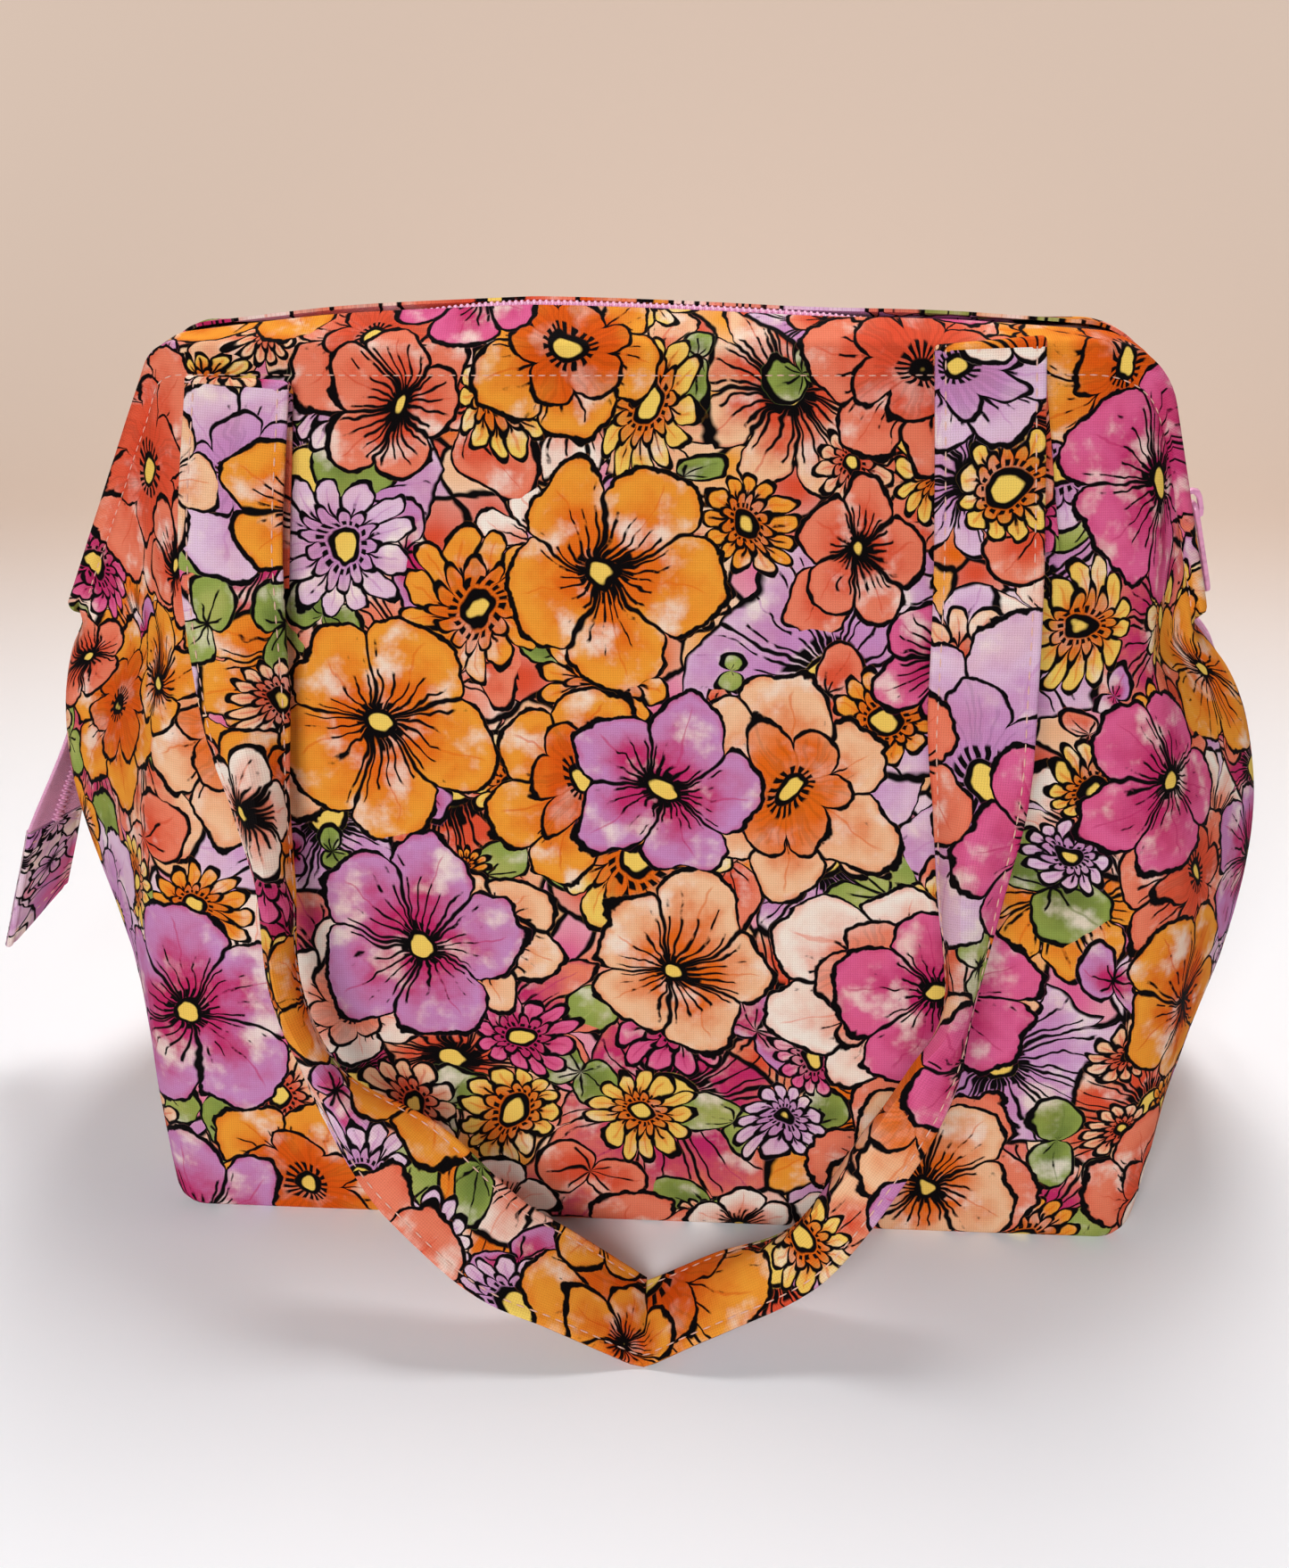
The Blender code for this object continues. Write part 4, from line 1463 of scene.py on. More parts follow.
@dataclass
class Strap:
    """A sewn strap swept along sections, with rounded edges and lines of stitches.

    Args:
        sections: The cross-sections in order.
        thickness: The strap's thickness.
        margin: How far the stitches lie in from the edges, 0 for none.
        shift: Where on the cloth the strap was cut.
        floor: The lowest height that the strap may reach.
        groove: How deep the stitches press in.
        groove_width: How far from the stitches the cloth dips.
        ridge: How sharp the pinch fold is, as a share of half the width.
        wave_count: How many soft waves lie in a metre.
        wave_height: How high they are.
        under_shift: How far from the upper face the lower one was cut from the cloth.
    """

    sections: Sequence[Section]
    thickness: float
    margin: float = 0.0024
    shift: tuple[float, float] = (0.0, 0.0)
    floor: float = 0.0002
    groove: float = 0.00028
    groove_width: float = 0.0006
    ridge: float = 0.13
    wave_count: float = 60.0
    wave_height: float = 0.0004
    under_shift: float = 0.031

    def spot(self, section: Section, share: float, lift: float) -> tuple[Vector, Vector]:
        """Return a place over a section and the cloth's facing there.

        Args:
            section: The section.
            share: From -1 at the left edge to 1 at the right one.
            lift: How far above the cloth's middle.

        Returns:
            The place and the facing.
        """
        normal = section.across.cross(section.run).normalized()
        half = section.width / 2
        if section.fold < 0.02:
            return section.centre + section.across * half * share + normal * lift, normal
        out = back = lean = 0.0
        steps = 10
        for step in range(steps):
            lean = section.fold * math.tanh((step + 0.5) / steps * abs(share) / self.ridge)
            out += math.cos(lean) * abs(share) * half / steps
            back += math.sin(lean) * abs(share) * half / steps
        lean = math.copysign(section.fold * math.tanh(abs(share) / self.ridge), share)
        facing = normal * math.cos(lean) - section.across * math.sin(lean)
        place = section.centre + section.across * math.copysign(out, share)
        return place + normal * (back - math.sin(section.fold) * half / 2) + facing * lift, facing

    def _rippled(self, section: Section, place: Vector) -> Vector:
        """Return a place moved by the strap's soft waves, kept above the floor.

        Args:
            section: The section that it lies on.
            place: The place.

        Returns:
            The moved place.
        """
        wave = noise.noise(place * self.wave_count) * self.wave_height
        place = place + section.across.cross(section.run).normalized() * wave
        place.z = max(place.z, self.floor)
        return place

    def profile(self, section: Section) -> list[tuple[float, float]]:
        """Return shares across the strap and how thick it is at each, 0 at its edges.

        Args:
            section: The section.

        Returns:
            Shares from -1 to 1 with the thickness as a share.
        """
        half = section.width / 2
        curve = self.thickness / 2 / half
        shares = [-1.0, -1 + 0.12 * curve, -1 + 0.4 * curve, -1 + curve]
        inner = 1 - self.margin / half if self.margin else 0.6
        for offset in (-0.09, -0.04, 0.0, 0.04, 0.09):
            shares.append(-inner - offset)
        shares = sorted(shares) + [-0.5, -0.25, 0.0]
        shares = shares + [-share for share in reversed(shares[:-1])]
        result = []
        for share in shares:
            reach = (abs(share) - (1 - curve)) / curve
            thick = math.sqrt(max(0.0, 1 - max(0.0, reach) ** 2))
            if self.margin:
                off = (abs(share) - inner) * half / self.groove_width
                thick -= self.groove / self.thickness * 2 * math.exp(-off ** 2)
            result.append((share, thick))
        return result

    def mesh(self, name: str) -> Mesh:
        """Sweep the strap into a closed mesh.

        Args:
            name: The mesh's name.

        Returns:
            The mesh.
        """
        points = []
        flats = []
        for section in self.sections:
            profile = self.profile(section)
            upper = [(share, thick * self.thickness / 2) for share, thick in profile]
            lower = [(share, -thick * self.thickness / 2) for share, thick in reversed(profile[1:-1])]
            for share, lift in upper + lower:
                place, _ = self.spot(section, share, lift)
                points.append(self._rippled(section, place))
                side = 0.0 if lift >= 0 else self.under_shift
                across = self.shift[0] + share * section.width / 2 + side
                flats.append((across, self.shift[1] + section.along, 0))
        return swept_mesh(name, points, flats, len(self.sections))

    def edge_lines(self, faces: Sequence[int] = (1, -1)) -> list[Line]:
        """Return lines along both edges for stitches.

        Args:
            faces: 1 for the upper face, -1 for the lower one.

        Returns:
            The lines of points and facings.
        """
        lines = []
        for face in faces:
            for edge in (-1, 1):
                line = []
                for section in self.sections:
                    share = edge * (1 - self.margin / (section.width / 2))
                    lift = face * (self.thickness / 2 - self.groove * 0.4)
                    place, facing = self.spot(section, share, lift)
                    line.append((self._rippled(section, place), facing * face))
                lines.append(line)
        return lines


def mirrored(point: Vector, face: Face) -> Vector:
    """Return a front point, or its image on the back of the bag."""
    return Vector((point.x, -face * point.y, point.z))


def mirrored_lines(lines: Sequence[Line], face: Face) -> list[Line]:
    """Return front lines, or their images on the back of the bag."""
    return [[(mirrored(place, face), mirrored(facing, face)) for place, facing in line] for line in lines]


HANDLE_ROUTE: tuple[tuple[float, ...], ...] = (
    (-1.000, 1.000, 0.0, 0.0, 1.00),
    (-1.028, 0.826, 0.0097, 3.0, 1.00),
    (-1.006, 0.661, 0.0122, 10.0, 0.82),
    (-0.965, 0.569, 0.0162, 14.0, 0.46),
    (-0.916, 0.483, 0.0222, 8.0, 0.22),
    (-0.878, 0.376, 0.0269, 6.0, 0.05),
    (-0.760, 0.279, 0.0297, 24.0, 0.24),
    (-0.531, 0.203, 0.0339, 34.0, 0.95),
    (-0.294, 0.117, 0.0362, 40.0, 1.00),
    (-0.096, 0.066, 0.0349, 58.0, 1.00),
    (0.130, 0.000, 0.0333, 72.0, 1.00),
    (0.345, 0.058, 0.0330, 74.0, 0.95),
    (0.574, 0.112, 0.0325, 70.0, 0.72),
    (0.771, 0.229, 0.0325, 55.0, 0.62),
    (0.890, 0.303, 0.0305, 44.0, 0.36),
    (0.969, 0.371, 0.0280, 14.0, 0.10),
    (0.989, 0.481, 0.0205, 22.0, 0.56),
    (1.011, 0.566, 0.0165, 22.0, 0.88),
    (1.017, 0.647, 0.0120, 10.0, 1.00),
    (1.017, 0.796, 0.0097, 2.0, 1.00),
    (1.000, 1.000, 0.0, 0.0, 1.00),
)


@dataclass
class Handles(Assembly):
    """Both hanging strap handles, their folds and the ends sewn to the panels."""

    width: float = 0.0254
    thickness: float = 0.0022
    spacing: float = 0.177
    shift: float = -0.0085
    sewn_length: float = 0.046
    sewn_drop: float = 0.0015
    seat: float = 0.0004
    fold_gap: float = 0.0006
    floor_gap: float = 0.0003
    lowered: float = 0.0
    back_drop: float = 0.0035
    steps: int = 8
    end_steps: int = 24
    fold_steps: int = 12
    loop_cut: tuple[float, float] = (1.2, 0.1)
    end_cut: tuple[float, float] = (1.6, 0.4)
    fold_cut: tuple[float, float] = (0.3, 0.2)
    box_inset: int = 2
    box_steps: int = 6
    stitch: Bead = Bead(0.0034, (0.0012, 0.00019, 0.00016))

    def x_at(self, share: float) -> float:
        """Return where a share of half the handle spacing lies along the bag."""
        return self.shift + share * self.spacing / 2

    def fold_height(self, side: Side) -> float:
        """Return the height of the strap's fold on one side."""
        return self.form.frame_height - self.form.ends[side].fold_drop - self.lowered

    def sewn_depths(self, side: Side) -> tuple[float, float]:
        """Return how far a sewn end's back stands from the middle plane at its top and foot.

        Args:
            side: Which end of the handle.

        Returns:
            The depth at the top and at the foot.
        """
        x = self.x_at(side)
        depths = []
        for share in (0.0, 0.5, 1.0):
            z = self.fold_height(side) - mix(self.sewn_drop, self.sewn_length, share)
            depths.append(max(self.form.depth(x + edge * self.width / 2, z) for edge in Side))
        top, middle, foot = depths
        sag = max(0.0, middle - (top + foot) / 2)
        return top + sag + self.seat, foot + sag + self.seat

    def loop_sections(self) -> list[Section]:
        """Return the front handle's cross-sections from the left fold to the right one."""
        places = []
        shapes = []
        for across, up, stand_off, turn, share in HANDLE_ROUTE:
            x = self.x_at(across)
            fold = mix(self.fold_height(Side.LEFT), self.fold_height(Side.RIGHT), (across + 1.0) / 2)
            z = max(up * fold, self.floor_gap + self.thickness / 2)
            depth = self.form.depth(x, z) + stand_off
            if abs(across) == 1.0:
                depth = self.sewn_depths(Side(int(across)))[0] + self.thickness * 1.5 + self.fold_gap
            places.append(Vector((x, -depth, z)))
            shapes.append(Vector((turn, share, 0)))
        tip = min(range(len(places)), key=lambda step: places[step].z)
        places = curve_through(places[:tip + 1], self.steps) + curve_through(places[tip:], self.steps)[1:]
        shapes = curve_through(shapes, self.steps)
        form = self.form
        lean = math.atan2(form.depth(0, 0) - form.depth(0, form.frame_height), form.frame_height)
        facing = Vector((0, -math.cos(lean), math.sin(lean)))
        sections = []
        for (place, run, along), shape in zip(walked(places), shapes):
            inward = facing.cross(run).normalized()
            angle = math.radians(shape.x)
            across = inward * math.cos(angle) + inward.cross(run) * math.sin(angle)
            fold = math.acos(min(1.0, shape.y))
            sections.append(Section(place, across, run, self.width, fold, along))
        return sections

    def end_sections(self, side: Side) -> list[Section]:
        """Return the cross-sections of one sewn end from its top to its foot.

        Args:
            side: Which end of the handle.

        Returns:
            The sections.
        """
        tilt = math.tan(self.form.ends[side].sewn_tilt) * side * self.sewn_length
        depths = self.sewn_depths(side)
        ends = []
        for share, depth in zip((0.0, 1.0), depths):
            height = self.fold_height(side) - mix(self.sewn_drop, self.sewn_length, share)
            ends.append(Vector((self.x_at(side) + tilt * share, -depth - self.thickness / 2, height)))
        run = (ends[1] - ends[0]).normalized()
        across = Vector((1, 0, 0))
        across = (across - run * across.dot(run)).normalized()
        length = (ends[1] - ends[0]).length
        sections = []
        for step in range(self.end_steps + 1):
            share = step / self.end_steps
            place = ends[0].lerp(ends[1], share)
            sections.append(Section(place, across, run, self.width, 0.0, share * length))
        return sections

    def fold_mesh(self, name: str, side: Side, loop: Section, top: Section, face: Face) -> Object:
        """Make the strap's turn over from its sewn end to the hanging loop.

        Args:
            name: The piece's name.
            side: Which end of the handle.
            loop: The loop's first section.
            top: The sewn end's first section.
            face: Which panel.

        Returns:
            The object.
        """
        start, end = top.centre, loop.centre
        outer = loop.across if loop.across.x > 0 else -loop.across
        rise = abs(end.y - start.y) / 2
        sections = []
        for step in range(self.fold_steps + 1):
            turn = math.pi * step / self.fold_steps
            place = start.lerp(end, (1 - math.cos(turn)) / 2) + Vector((0, 0, rise * math.sin(turn)))
            across = top.across.lerp(outer, step / self.fold_steps).normalized()
            run = Vector((0, -math.sin(turn), math.cos(turn)))
            sections.append(Section(place, across, run, self.width, 0.0, rise * turn))
        strap = Strap(sections, self.thickness, shift=cut_at(self.fold_cut, side), groove=0.0)
        return self._turned(add_piece(name, strap.mesh(name), self.finishes.warm), face)

    @staticmethod
    def _turned(piece: Object, face: Face) -> Object:
        """Mirror a front piece to the back of the bag where it belongs there.

        Args:
            piece: The piece.
            face: Which panel it belongs to.

        Returns:
            The same piece.
        """
        if face is Face.BACK:
            piece.data.transform(Matrix.Diagonal((1, -1, 1, 1)))
            piece.data.flip_normals()
        return piece

    def box_lines(self, strap: Strap, face: Face) -> list[Line]:
        """Return the square of stitches that holds a sewn end.

        Args:
            strap: The sewn end.
            face: Which panel.

        Returns:
            The lines of points and facings.
        """
        left, right = strap.edge_lines((1,))
        lines = [edge[self.box_inset:-self.box_inset] for edge in (left, right)]
        for row in (self.box_inset, -self.box_inset - 1):
            lines.append(row_between(left[row], right[row], self.box_steps))
        return mirrored_lines(lines, face)

    def build(self) -> None:
        """Build the loops, folds and sewn ends of both handles."""
        for face in Face:
            self.lowered = self.back_drop if face is Face.BACK else 0.0
            sections = self.loop_sections()
            strap = Strap(sections, self.thickness, shift=self.loop_cut)
            word = face.name.lower()
            body = f"{word}_handle"
            name = f"{word}_handle_strap"
            loop = self._turned(add_piece(name, strap.mesh(name), self.finishes.warm), face)
            place_piece(loop, body, "print_cloth", f"{word}_handle_loop")
            lines = mirrored_lines(strap.edge_lines(), face)
            self.sew(f"{word}_handle_stitches", lines, self.stitch, body)
            for side in Side:
                self._build_end(face, side, sections[0] if side is Side.LEFT else sections[-1])

    def _build_end(self, face: Face, side: Side, loop: Section) -> None:
        """Build one sewn end with its stitches and its fold.

        Args:
            face: Which panel.
            side: Which end of the handle.
            loop: The loop's section at the fold.
        """
        word = f"{face.name.lower()}_handle_{side.name.lower()}"
        sections = self.end_sections(side)
        strap = Strap(sections, self.thickness, shift=cut_at(self.end_cut, side))
        name = f"{word}_sewn_end"
        piece = self._turned(add_piece(name, strap.mesh(name), self.finishes.warm), face)
        place_piece(piece, "bag", "print_cloth", f"{word}_end")
        self.sew(f"{word}_box_stitches", self.box_lines(strap, face), self.stitch, "bag")
        fold = self.fold_mesh(f"{word}_fold", side, loop, sections[0], face)
        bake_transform(fold)
        LOG.info("%s bends between the bag and its handle", fold.name)


@dataclass
class Zip(Assembly):
    """The zip's tape and coil along the mouth, and its slider and pull."""

    tape: float = 0.0006
    inset: float = 0.0011
    tuck: float = 0.001
    closing: float = 0.08
    fill: float = 0.95
    slit: float = 0.0003
    steps: tuple[int, int, int] = (60, 12, 60)
    tooth: Bead = Bead(0.0015, (0.00058, 0.0017, 0.0009))
    coil_drop: float = 0.0009
    coil_offset: float = 0.0011
    slider_down: float = 0.031
    slider_round: float = 0.00028
    pull_lift: float = 0.00595
    pull_half: float = 0.0006
    pull_round: float = 0.0003
    pull_corners: int = 40

    def route(self, closing: float = 1.0) -> list[Station]:
        """List the stations that the zip runs along, down to where the mouth closes to a share."""
        return [s for s in self.form.stations(*self.steps) if self.form.gape(s) >= closing]

    def tape_mesh(self, name: str, face: Face) -> Mesh:
        """Sweep half the tape along the mouth.

        Args:
            name: The mesh's name.
            face: Which panel it is sewn to.

        Returns:
            The mesh.
        """
        form = self.form
        points = []
        flats = []
        along = 0.0
        before = None
        route = self.route(self.closing)
        for station in route:
            place, normal = form.frame_place(station)
            along += (place - before).length if before is not None else 0.0
            before = place
            sink = form.zip_sink(station)
            tuck = self.tuck + sink * 2
            rise = form.hem_rise(station) - sink
            half = form.hem_half * form.gape(station)
            out = form.spread + form.crease * math.cos(form.crest_angle) - form.hem_half
            slope = math.atan2(rise - form.crease * math.sin(form.crest_angle), out)
            ring = []
            for depth in (self.inset, self.inset + self.tape):
                line = [(quarter / 4 * half * self.fill + self.slit, rise - depth) for quarter in range(5)]
                reach = max(half - depth * math.sin(slope), half * 0.96) + tuck * math.cos(slope)
                line.append((reach, rise - depth * math.cos(slope) - tuck * math.sin(slope)))
                ring.append(line if depth == self.inset else list(reversed(line)))
            for across, high in ring[0] + ring[1]:
                point = place + normal * high
                point.y = face * across
                points.append(point)
                flats.append((across, along, 0))
        return swept_mesh(name, points, flats, len(route))

    def coil_line(self, face: Face) -> Line:
        """Return the line that half the coil's teeth sit on.

        Args:
            face: Which half.

        Returns:
            Points and facings.
        """
        line = []
        for station in self.route():
            place, normal = self.form.frame_place(station)
            rise = self.form.hem_rise(station) - self.form.zip_sink(station)
            point = place + normal * (rise - self.coil_drop)
            point.y = face * self.coil_offset
            line.append((point, normal))
        if face is Face.BACK:
            first, second = line[0][0], line[1][0]
            line[0] = (first + (second - first).normalized() * self.tooth.pitch / 2, line[0][1])
        return line

    def seat(self) -> Matrix:
        """Return the slider's frame: X up the right leg, Z away from the bag."""
        end = self.form.ends[Side.RIGHT]
        place, normal = self.form.frame_place((Side.RIGHT, Zone.LEG, self.slider_down / end.zip_leg))
        up_leg = Vector((-math.sin(end.splay), 0, math.cos(end.splay)))
        turn = Matrix((up_leg, normal.cross(up_leg), normal)).transposed().to_4x4()
        return Matrix.Translation(place) @ turn

    def build(self) -> None:
        """Build the tapes, the coils, the slider and its pull."""
        for face in Face:
            word = face.name.lower()
            tape = add_piece(f"tape_{word}", self.tape_mesh(f"tape_{word}", face), self.finishes.tape)
            place_piece(tape, "bag", "zip_tape", f"zip_tape_{word}")
            coil = self.beads.string(f"coil_teeth_{word}", [self.coil_line(face)], self.tooth,
                                     self.finishes.coil)
            place_piece(coil, "bag", "zip_coil", f"zip_coil_{word}")
        slider = add_piece("slider", self.slider_mesh(), self.finishes.enamel)
        place_piece(slider, "slider", "pink_enamel", "slider_body")
        pull = add_piece("zip_pull", self.pull_mesh(), self.finishes.enamel)
        place_piece(pull, "pull", "pink_enamel", "slider_pull")

    @staticmethod
    def _plate(work: bmesh.types.BMesh, outline: Sequence[tuple[float, float]], low: float,
               high: float) -> None:
        """Add a flat plate.

        Args:
            work: The mesh.
            outline: The plate's outline.
            low: The height of its lower side.
            high: The height of its upper side.
        """
        rings = [[work.verts.new((x, y, z)) for x, y in outline] for z in (low, high)]
        work.faces.new(list(reversed(rings[0])))
        work.faces.new(rings[1])
        for index in range(len(outline)):
            turn = (index + 1) % len(outline)
            work.faces.new((rings[0][index], rings[0][turn], rings[1][turn], rings[1][index]))

    def _finished(self, name: str, work: bmesh.types.BMesh, lift: float, round_off: float) -> Mesh:
        """Round a small metal piece's edges and seat it on the zip.

        Args:
            name: The mesh's name.
            work: The piece about the slider's frame.
            lift: How far its middle stands out from the wire.
            round_off: The radius of its edges.

        Returns:
            The mesh.
        """
        bmesh.ops.recalc_face_normals(work, faces=work.faces[:])
        sharp = [edge for edge in work.edges if len(edge.link_faces) == 2 and edge.calc_face_angle(0) > 0.5]
        bmesh.ops.bevel(work, geom=sharp, offset=round_off, segments=3, profile=0.5, affect="EDGES")
        mesh = bpy.data.meshes.new(name)
        work.to_mesh(mesh)
        work.free()
        mesh.transform(self.seat() @ Matrix.Translation((0, 0, lift)))
        mesh.shade_smooth()
        mesh.set_sharp_from_angle(angle=math.radians(40))
        return mesh

    def slider_mesh(self) -> Mesh:
        """Return the slider: a shield-shaped cap with side lips and a bridge for the pull."""
        work = bmesh.new()
        shield = [(-0.0047, -0.0030), (-0.0047, 0.0030), (-0.0012, 0.0041), (0.0030, 0.0043),
                  (0.0047, 0.0032), (0.0040, 0.0), (0.0047, -0.0032), (0.0030, -0.0043), (-0.0012, -0.0041)]
        self._plate(work, shield, 0.0038, 0.0047)
        for side in (-1, 1):
            lip = [(-0.0046, side * 0.0034), (-0.0046, side * 0.0042),
                   (0.0040, side * 0.0043), (0.0040, side * 0.0035)]
            self._plate(work, lip, 0.0015, 0.0042)
        arch = [(-0.0041, 0.0044), (-0.0041, 0.0064), (-0.0034, 0.0078), (-0.0016, 0.0082), (0.0016, 0.0082),
                (0.0034, 0.0078), (0.0041, 0.0064), (0.0041, 0.0044), (0.0029, 0.0044), (0.0029, 0.0062),
                (0.0014, 0.0070), (-0.0014, 0.0070), (-0.0029, 0.0062), (-0.0029, 0.0044)]
        rings = [[work.verts.new((x, y, z)) for x, z in arch] for y in (-0.001, 0.001)]
        work.faces.new(rings[0])
        work.faces.new(list(reversed(rings[1])))
        for index in range(len(arch)):
            turn = (index + 1) % len(arch)
            work.faces.new((rings[0][turn], rings[0][index], rings[1][index], rings[1][turn]))
        return self._finished("slider", work, 0.0, self.slider_round)

    def _rounded(self, power: float) -> list[tuple[float, float]]:
        """Return the outline of a rounded square.

        Args:
            power: 1 for a circle, less for a squarer shape.

        Returns:
            Points from -1 to 1.
        """
        outline = []
        for step in range(self.pull_corners):
            angle = 2 * math.pi * step / self.pull_corners
            x, y = math.cos(angle), math.sin(angle)
            outline.append((math.copysign(abs(x) ** power, x), math.copysign(abs(y) ** power, y)))
        return outline

    def pull_mesh(self) -> Mesh:
        """Return the pull: a tapered tag with an eye for the bridge and a raised rim."""
        work = bmesh.new()
        outer, inner = self._rounded(0.42), self._rounded(0.6)
        rings = []
        for shape, centre, size in ((outer, -0.01165, (0.01225, 0.0038)), (inner, -0.0035, (0.0029, 0.0017))):
            for z in (-self.pull_half, self.pull_half):
                ring = []
                for x, y in shape:
                    taper = 1.0 - 0.16 * (x + 1) / 2 if shape is outer else 1.0
                    ring.append(work.verts.new((centre + x * size[0], y * size[1] * taper, z)))
                rings.append(ring)
        low, high, hole_low, hole_high = rings
        for index in range(self.pull_corners):
            turn = (index + 1) % self.pull_corners
            work.faces.new((low[index], low[turn], high[turn], high[index]))
            work.faces.new((hole_low[turn], hole_low[index], hole_high[index], hole_high[turn]))
            work.faces.new((high[index], high[turn], hole_high[turn], hole_high[index]))
            work.faces.new((low[turn], low[index], hole_low[index], hole_low[turn]))
        return self._finished("zip_pull", work, self.pull_lift, self.pull_round)


@dataclass(frozen=True)
class TailShape:
    """The run of one zip tail from its root, and the tab on its end.

    Args:
        route: Places from the root, the turn towards the front in degrees, and the open share of the width.
        tab_run: The direction that the tab hangs in.
    """

    route: tuple[tuple[Triple, float, float], ...]
    tab_run: Triple


@dataclass
class Tails(Assembly):
    """The free ends of the zip with their folded cloth tabs."""

    width: float = 0.020
    thickness: float = 0.0012
    lift: float = 0.0022
    gap: float = 0.0009
    tab_thickness: float = 0.0026
    tab_long: float = 0.044
    tab_short: float = 0.029
    tab_margin: float = 0.0022
    tab_rows: tuple[int, int] = (2, 21)
    tab_cut: tuple[float, float] = (2.2, 0.3)
    tab_gap: float = 0.0003
    tab_steps: int = 24
    row_steps: int = 5
    steps: int = 10
    coil_start: int = 3
    coil_share: float = 0.055
    coil_lift: float = 0.55
    tooth: Bead = Bead(0.0015, (0.00055, 0.0016, 0.0006))
    stitch: Bead = Bead(0.0028, (0.001, 0.00022, 0.00018))
    shapes: dict = field(default_factory=lambda: {
        Side.LEFT: TailShape((
            ((0.0, 0.0040, 0.0), 0.0, 0.24),
            ((-0.0040, 0.0115, -0.0100), 3.0, 0.42),
            ((-0.0085, 0.0165, -0.0225), 6.0, 0.74),
            ((-0.0112, 0.0130, -0.0373), 10.0, 0.95),
            ((-0.0206, -0.0018, -0.0648), 27.0, 1.00)), (-0.37, 0.0, -0.93)),
        Side.RIGHT: TailShape((
            ((0.0, 0.0040, 0.0), 0.0, 0.22),
            ((0.0078, 0.0135, -0.0095), -3.0, 0.36),
            ((0.0138, 0.0200, -0.0215), -7.0, 0.66),
            ((0.0188, 0.0228, -0.0350), -10.0, 0.92),
            ((0.0215, 0.0240, -0.0494), -13.0, 1.00),
            ((0.0228, 0.0245, -0.0624), -14.0, 1.00)), (0.0, 0.04, -1.0)),
    })

    def sections(self, side: Side) -> list[Section]:
        """Return the cross-sections of one tail from its root to the tab.

        Args:
            side: Which end of the bag.

        Returns:
            The sections.
        """
        end, normal = self.form.frame_place((side, Zone.LEG, 1.0))
        down = (end - self.form.frame_place((side, Zone.LEG, 0.0))[0]).normalized()
        root = end + normal * self.lift + down * self.gap
        route = self.shapes[side].route
        places = curve_through([root + Vector(offset) for offset, _, _ in route], self.steps)
        turns = curve_through([Vector((turn, share, 0)) for _, turn, share in route], self.steps)
        sections = []
        for (place, run, along), turn in zip(walked(places), turns):
            angle = math.radians(turn.x)
            across = Vector((math.sin(angle), math.cos(angle), 0))
            sections.append(Section(place, across, run, self.width * turn.y, 0.0, along))
        return sections

    def tab_sections(self, side: Side, end: Section) -> list[Section]:
        """Return the cross-sections of the folded tab, slanting at its foot.

        Args:
            side: Which end of the bag.
            end: The tail's last section.

        Returns:
            The sections.
        """
        run = Vector(self.shapes[side].tab_run).normalized()
        half = end.across * end.width / 2
        gap = run * self.tab_gap
        front, back = end.centre - half + gap, end.centre + half + gap
        sections = []
        for step in range(self.tab_steps + 1):
            share = step / self.tab_steps
            left = front + run * self.tab_long * share
            right = back + run * self.tab_short * share
            across = (right - left).normalized()
            sections.append(Section((left + right) / 2, across, run, (right - left).length, 0.0,
                                    share * self.tab_long))
        return sections

    def build(self) -> None:
        """Build both tails, their coils, tabs and stitches."""
        for side in Side:
            word = side.name.lower()
            body = f"{word}_tail"
            sections = self.sections(side)
            tail = Strap(sections, self.thickness, margin=0.0)
            piece = add_piece(f"tail_tape_{word}", tail.mesh(f"tail_tape_{word}"), self.finishes.tape)
            place_piece(piece, body, "zip_tape", f"zip_tail_{word}")
            lines = []
            for share in (-self.coil_share, self.coil_share):
                for lift in (1, -1):
                    line = []
                    for section in sections[self.coil_start:]:
                        place, facing = tail.spot(section, share, lift * self.thickness * self.coil_lift)
                        line.append((place, facing * lift))
                    lines.append(line)
            coil = self.beads.string(f"tail_coil_{word}", lines, self.tooth, self.finishes.coil)
            place_piece(coil, body, "zip_coil")
            tab_sections = self.tab_sections(side, sections[-1])
            tab = Strap(tab_sections, self.tab_thickness, self.tab_margin, cut_at(self.tab_cut, side))
            piece = add_piece(f"tab_cloth_{word}", tab.mesh(f"tab_cloth_{word}"), self.finishes.lilac)
            place_piece(piece, body, "print_cloth", f"tab_{word}")
            edges = tab.edge_lines()
            rows = []
            for row in self.tab_rows:
                for left, right in (edges[:2], edges[2:]):
                    rows.append(row_between(left[row], right[row], self.row_steps))
            self.sew(f"tab_stitches_{word}", rows, self.stitch, body)


@dataclass(frozen=True)
class Lamp:
    """A soft square lamp.

    Args:
        name: The lamp's name.
        place: Where it hangs.
        aim: What it points at.
        size: The length of its sides.
        power: Its power in watts.
        colour: Its colour.
    """

    name: str
    place: Triple
    aim: Triple
    size: float
    power: float
    colour: Colour = (1.0, 0.99, 0.98)

    def hang(self) -> None:
        """Add the lamp to the scene."""
        data = bpy.data.lights.new(self.name, "AREA")
        data.size = self.size
        data.energy = self.power
        data.color = self.colour
        lamp = bpy.data.objects.new(self.name, data)
        lamp.location = self.place
        lamp.rotation_euler = (Vector(self.aim) - Vector(self.place)).to_track_quat("-Z", "Y").to_euler()
        bpy.context.scene.collection.objects.link(lamp)


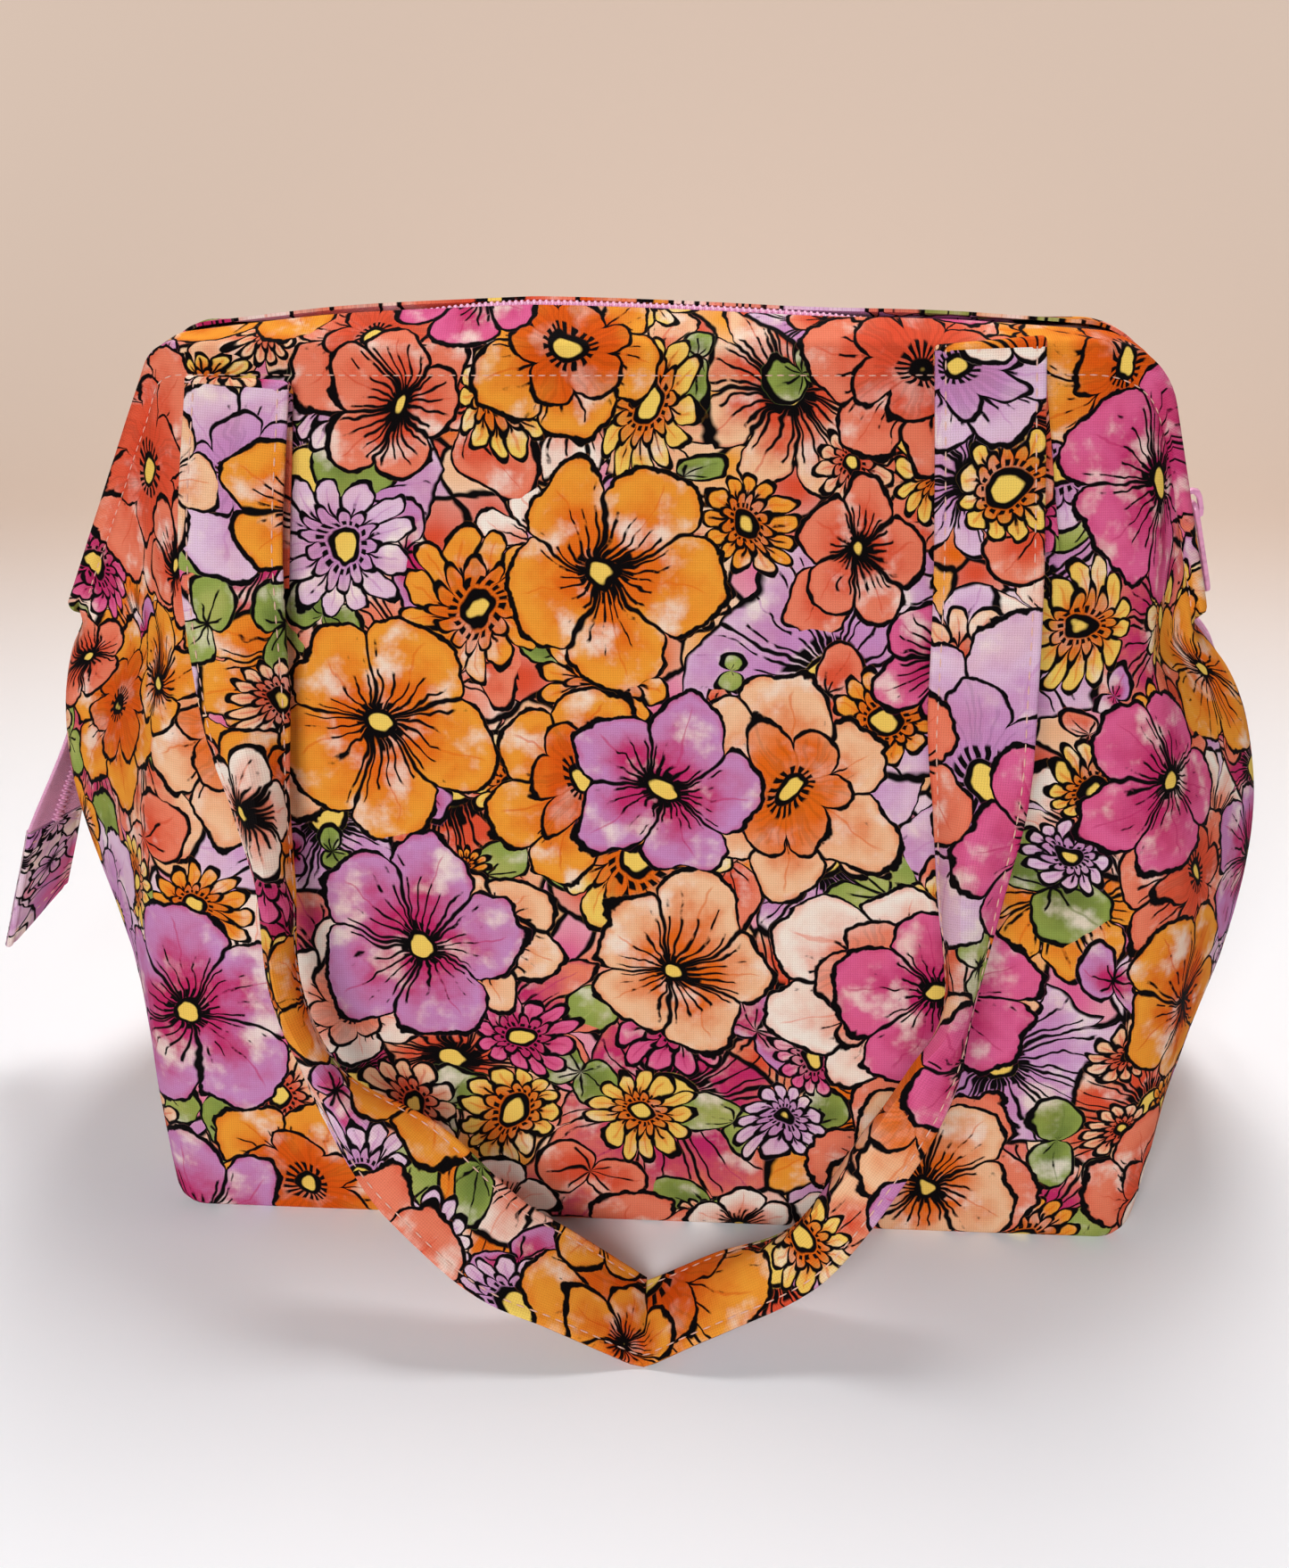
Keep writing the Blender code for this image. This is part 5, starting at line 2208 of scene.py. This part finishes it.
@dataclass
class Studio:
    """The floor, the backdrop, the lamps and the camera."""

    width: int = 1445
    focal: float = 1600.0
    azimuth: float = math.radians(4.0889)
    elevation: float = math.radians(28.8076)
    roll: float = math.radians(-0.9363)
    eye: Triple = (0.0230, -0.3595, 0.2950)
    backdrop: Colour = srgb(218, 196, 180)
    floor: Colour = srgb(246, 248, 252)
    room: Colour = (1.0, 0.99, 0.985)
    room_light: float = 0.10
    sensor: float = 36.0
    lamps: tuple[Lamp, ...] = (
        Lamp("back_light", (0.06, 0.50, 1.20), (0, -0.05, 0.05), 0.45, 11.5),
        Lamp("front_fill", (-0.22, -1.22, 0.80), (0, 0, 0.14), 0.6, 12.5),
    )
    reach: float = 8.0
    curve_start: float = 0.55
    curve_radius: float = 0.35
    wall_height: float = 2.4

    def floor_material(self) -> Material:
        """Return a pale sweep that warms towards the backdrop and shows its plain colour far off."""
        shade = Shade(bpy.data.materials.new("studio_sweep"))
        place = shade.value(shade.node("ShaderNodeTexCoord"), "Object")
        _, depth, _ = place.parts()
        away = place.vector("LENGTH", None, 1)
        share = depth.smooth(0.05, 0.60).math("MAXIMUM", away.smooth(0.5, 1.6))
        colour = shade.blend(share, self.floor, self.backdrop)
        sockets = {"Base Color": colour, "Roughness": 0.9, "Specular IOR Level": 0.1}
        paper = shade.node("ShaderNodeBsdfPrincipled", {}, sockets)
        plain_light = shade.node("ShaderNodeEmission", {}, {"Color": colour, "Strength": 1.0})
        far = away.smooth(0.45, 1.2) * self.seen(shade)
        both = shade.node("ShaderNodeMixShader", {}, {0: far, 1: paper.outputs[0], 2: plain_light.outputs[0]})
        shade.node("ShaderNodeOutputMaterial", {}, {"Surface": both.outputs[0]})
        return shade.owner

    @staticmethod
    def seen(shade: Shade) -> Value:
        """Return 1 for the rays that show a background: to the camera, off gloss or through glass.

        Args:
            shade: The material or the world.

        Returns:
            1 or 0.
        """
        path = shade.node("ShaderNodeLightPath")
        rays = ("Is Camera Ray", "Is Glossy Ray", "Is Transmission Ray")
        camera, glossy, through = (shade.value(path, ray) for ray in rays)
        return camera.math("MAXIMUM", glossy).math("MAXIMUM", through)

    def build_sweep(self) -> None:
        """Make the floor that curves up into the backdrop."""
        radius = self.curve_radius
        line = [(-self.reach, 0.0), (self.curve_start, 0.0)]
        for degrees in range(10, 91, 10):
            turn = math.radians(degrees)
            line.append((self.curve_start + radius * math.sin(turn), radius - radius * math.cos(turn)))
        line.append((self.curve_start + radius, self.wall_height))
        mesh = bpy.data.meshes.new("studio_sweep")
        points = [(x, y, z) for y, z in line for x in (-self.reach, self.reach)]
        faces = [(2 * i, 2 * i + 1, 2 * i + 3, 2 * i + 2) for i in range(len(line) - 1)]
        mesh.from_pydata(points, [], faces)
        mesh.shade_smooth()
        sweep = add_piece("studio_sweep", mesh, self.floor_material())

    def build_lights(self) -> None:
        """Hang the lamps and set the room's light."""
        world = bpy.data.worlds.new("studio_room")
        bpy.context.scene.world = world
        shade = Shade(world)
        room = shade.node("ShaderNodeBackground", {}, {"Color": self.room, "Strength": self.room_light})
        pale = shade.node("ShaderNodeBackground", {}, {"Color": self.backdrop, "Strength": 1.0})
        sockets = {0: self.seen(shade), 1: room.outputs[0], 2: pale.outputs[0]}
        both = shade.node("ShaderNodeMixShader", {}, sockets)
        shade.node("ShaderNodeOutputWorld", {}, {"Surface": both.outputs[0]})
        for lamp in self.lamps:
            lamp.hang()

    def build_camera(self) -> None:
        """Set the camera where the photograph was taken from."""
        back = Vector((math.sin(self.azimuth) * math.cos(self.elevation),
                       -math.cos(self.azimuth) * math.cos(self.elevation), math.sin(self.elevation)))
        right = (-back).cross(Vector((0, 0, 1))).normalized()
        up = right.cross(-back)
        turned = right * math.cos(self.roll) + up * math.sin(self.roll)
        upright = up * math.cos(self.roll) - right * math.sin(self.roll)
        data = bpy.data.cameras.new("camera")
        data.sensor_fit = "HORIZONTAL"
        data.sensor_width = self.sensor
        data.lens = self.focal / self.width * self.sensor
        data.clip_start = 0.01
        camera = bpy.data.objects.new("camera", data)
        turn = Matrix((turned, upright, back)).transposed().to_4x4()
        camera.matrix_world = Matrix.Translation(self.eye) @ turn
        bpy.context.scene.collection.objects.link(camera)
        bpy.context.scene.camera = camera

    def build(self) -> None:
        """Build the whole studio."""
        self.build_camera()
        self.build_sweep()
        self.build_lights()
        bpy.context.scene.view_settings.view_transform = "Standard"


def clear_scene() -> None:
    """Remove every object that the file opens with."""
    for item in list(bpy.data.objects):
        bpy.data.objects.remove(item, do_unlink=True)


def main() -> None:
    """Build the bag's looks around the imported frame."""
    logging.basicConfig(level=logging.INFO, format="%(name)s: %(message)s")
    clear_scene()
    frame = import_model()
    Studio().build()
    form, finishes, beads = BagForm(), Finishes(), BeadRow()
    for assembly in (Shell, Zip, Tails, Handles):
        assembly(form, finishes, beads).build()
    for face in Face:
        wire = frame["nodes"][f"wire_frame_{face.name.lower()}"]
        wire.data.materials.clear()
        wire.data.materials.append(finishes.wire)


if __name__ == "__main__":
    main()
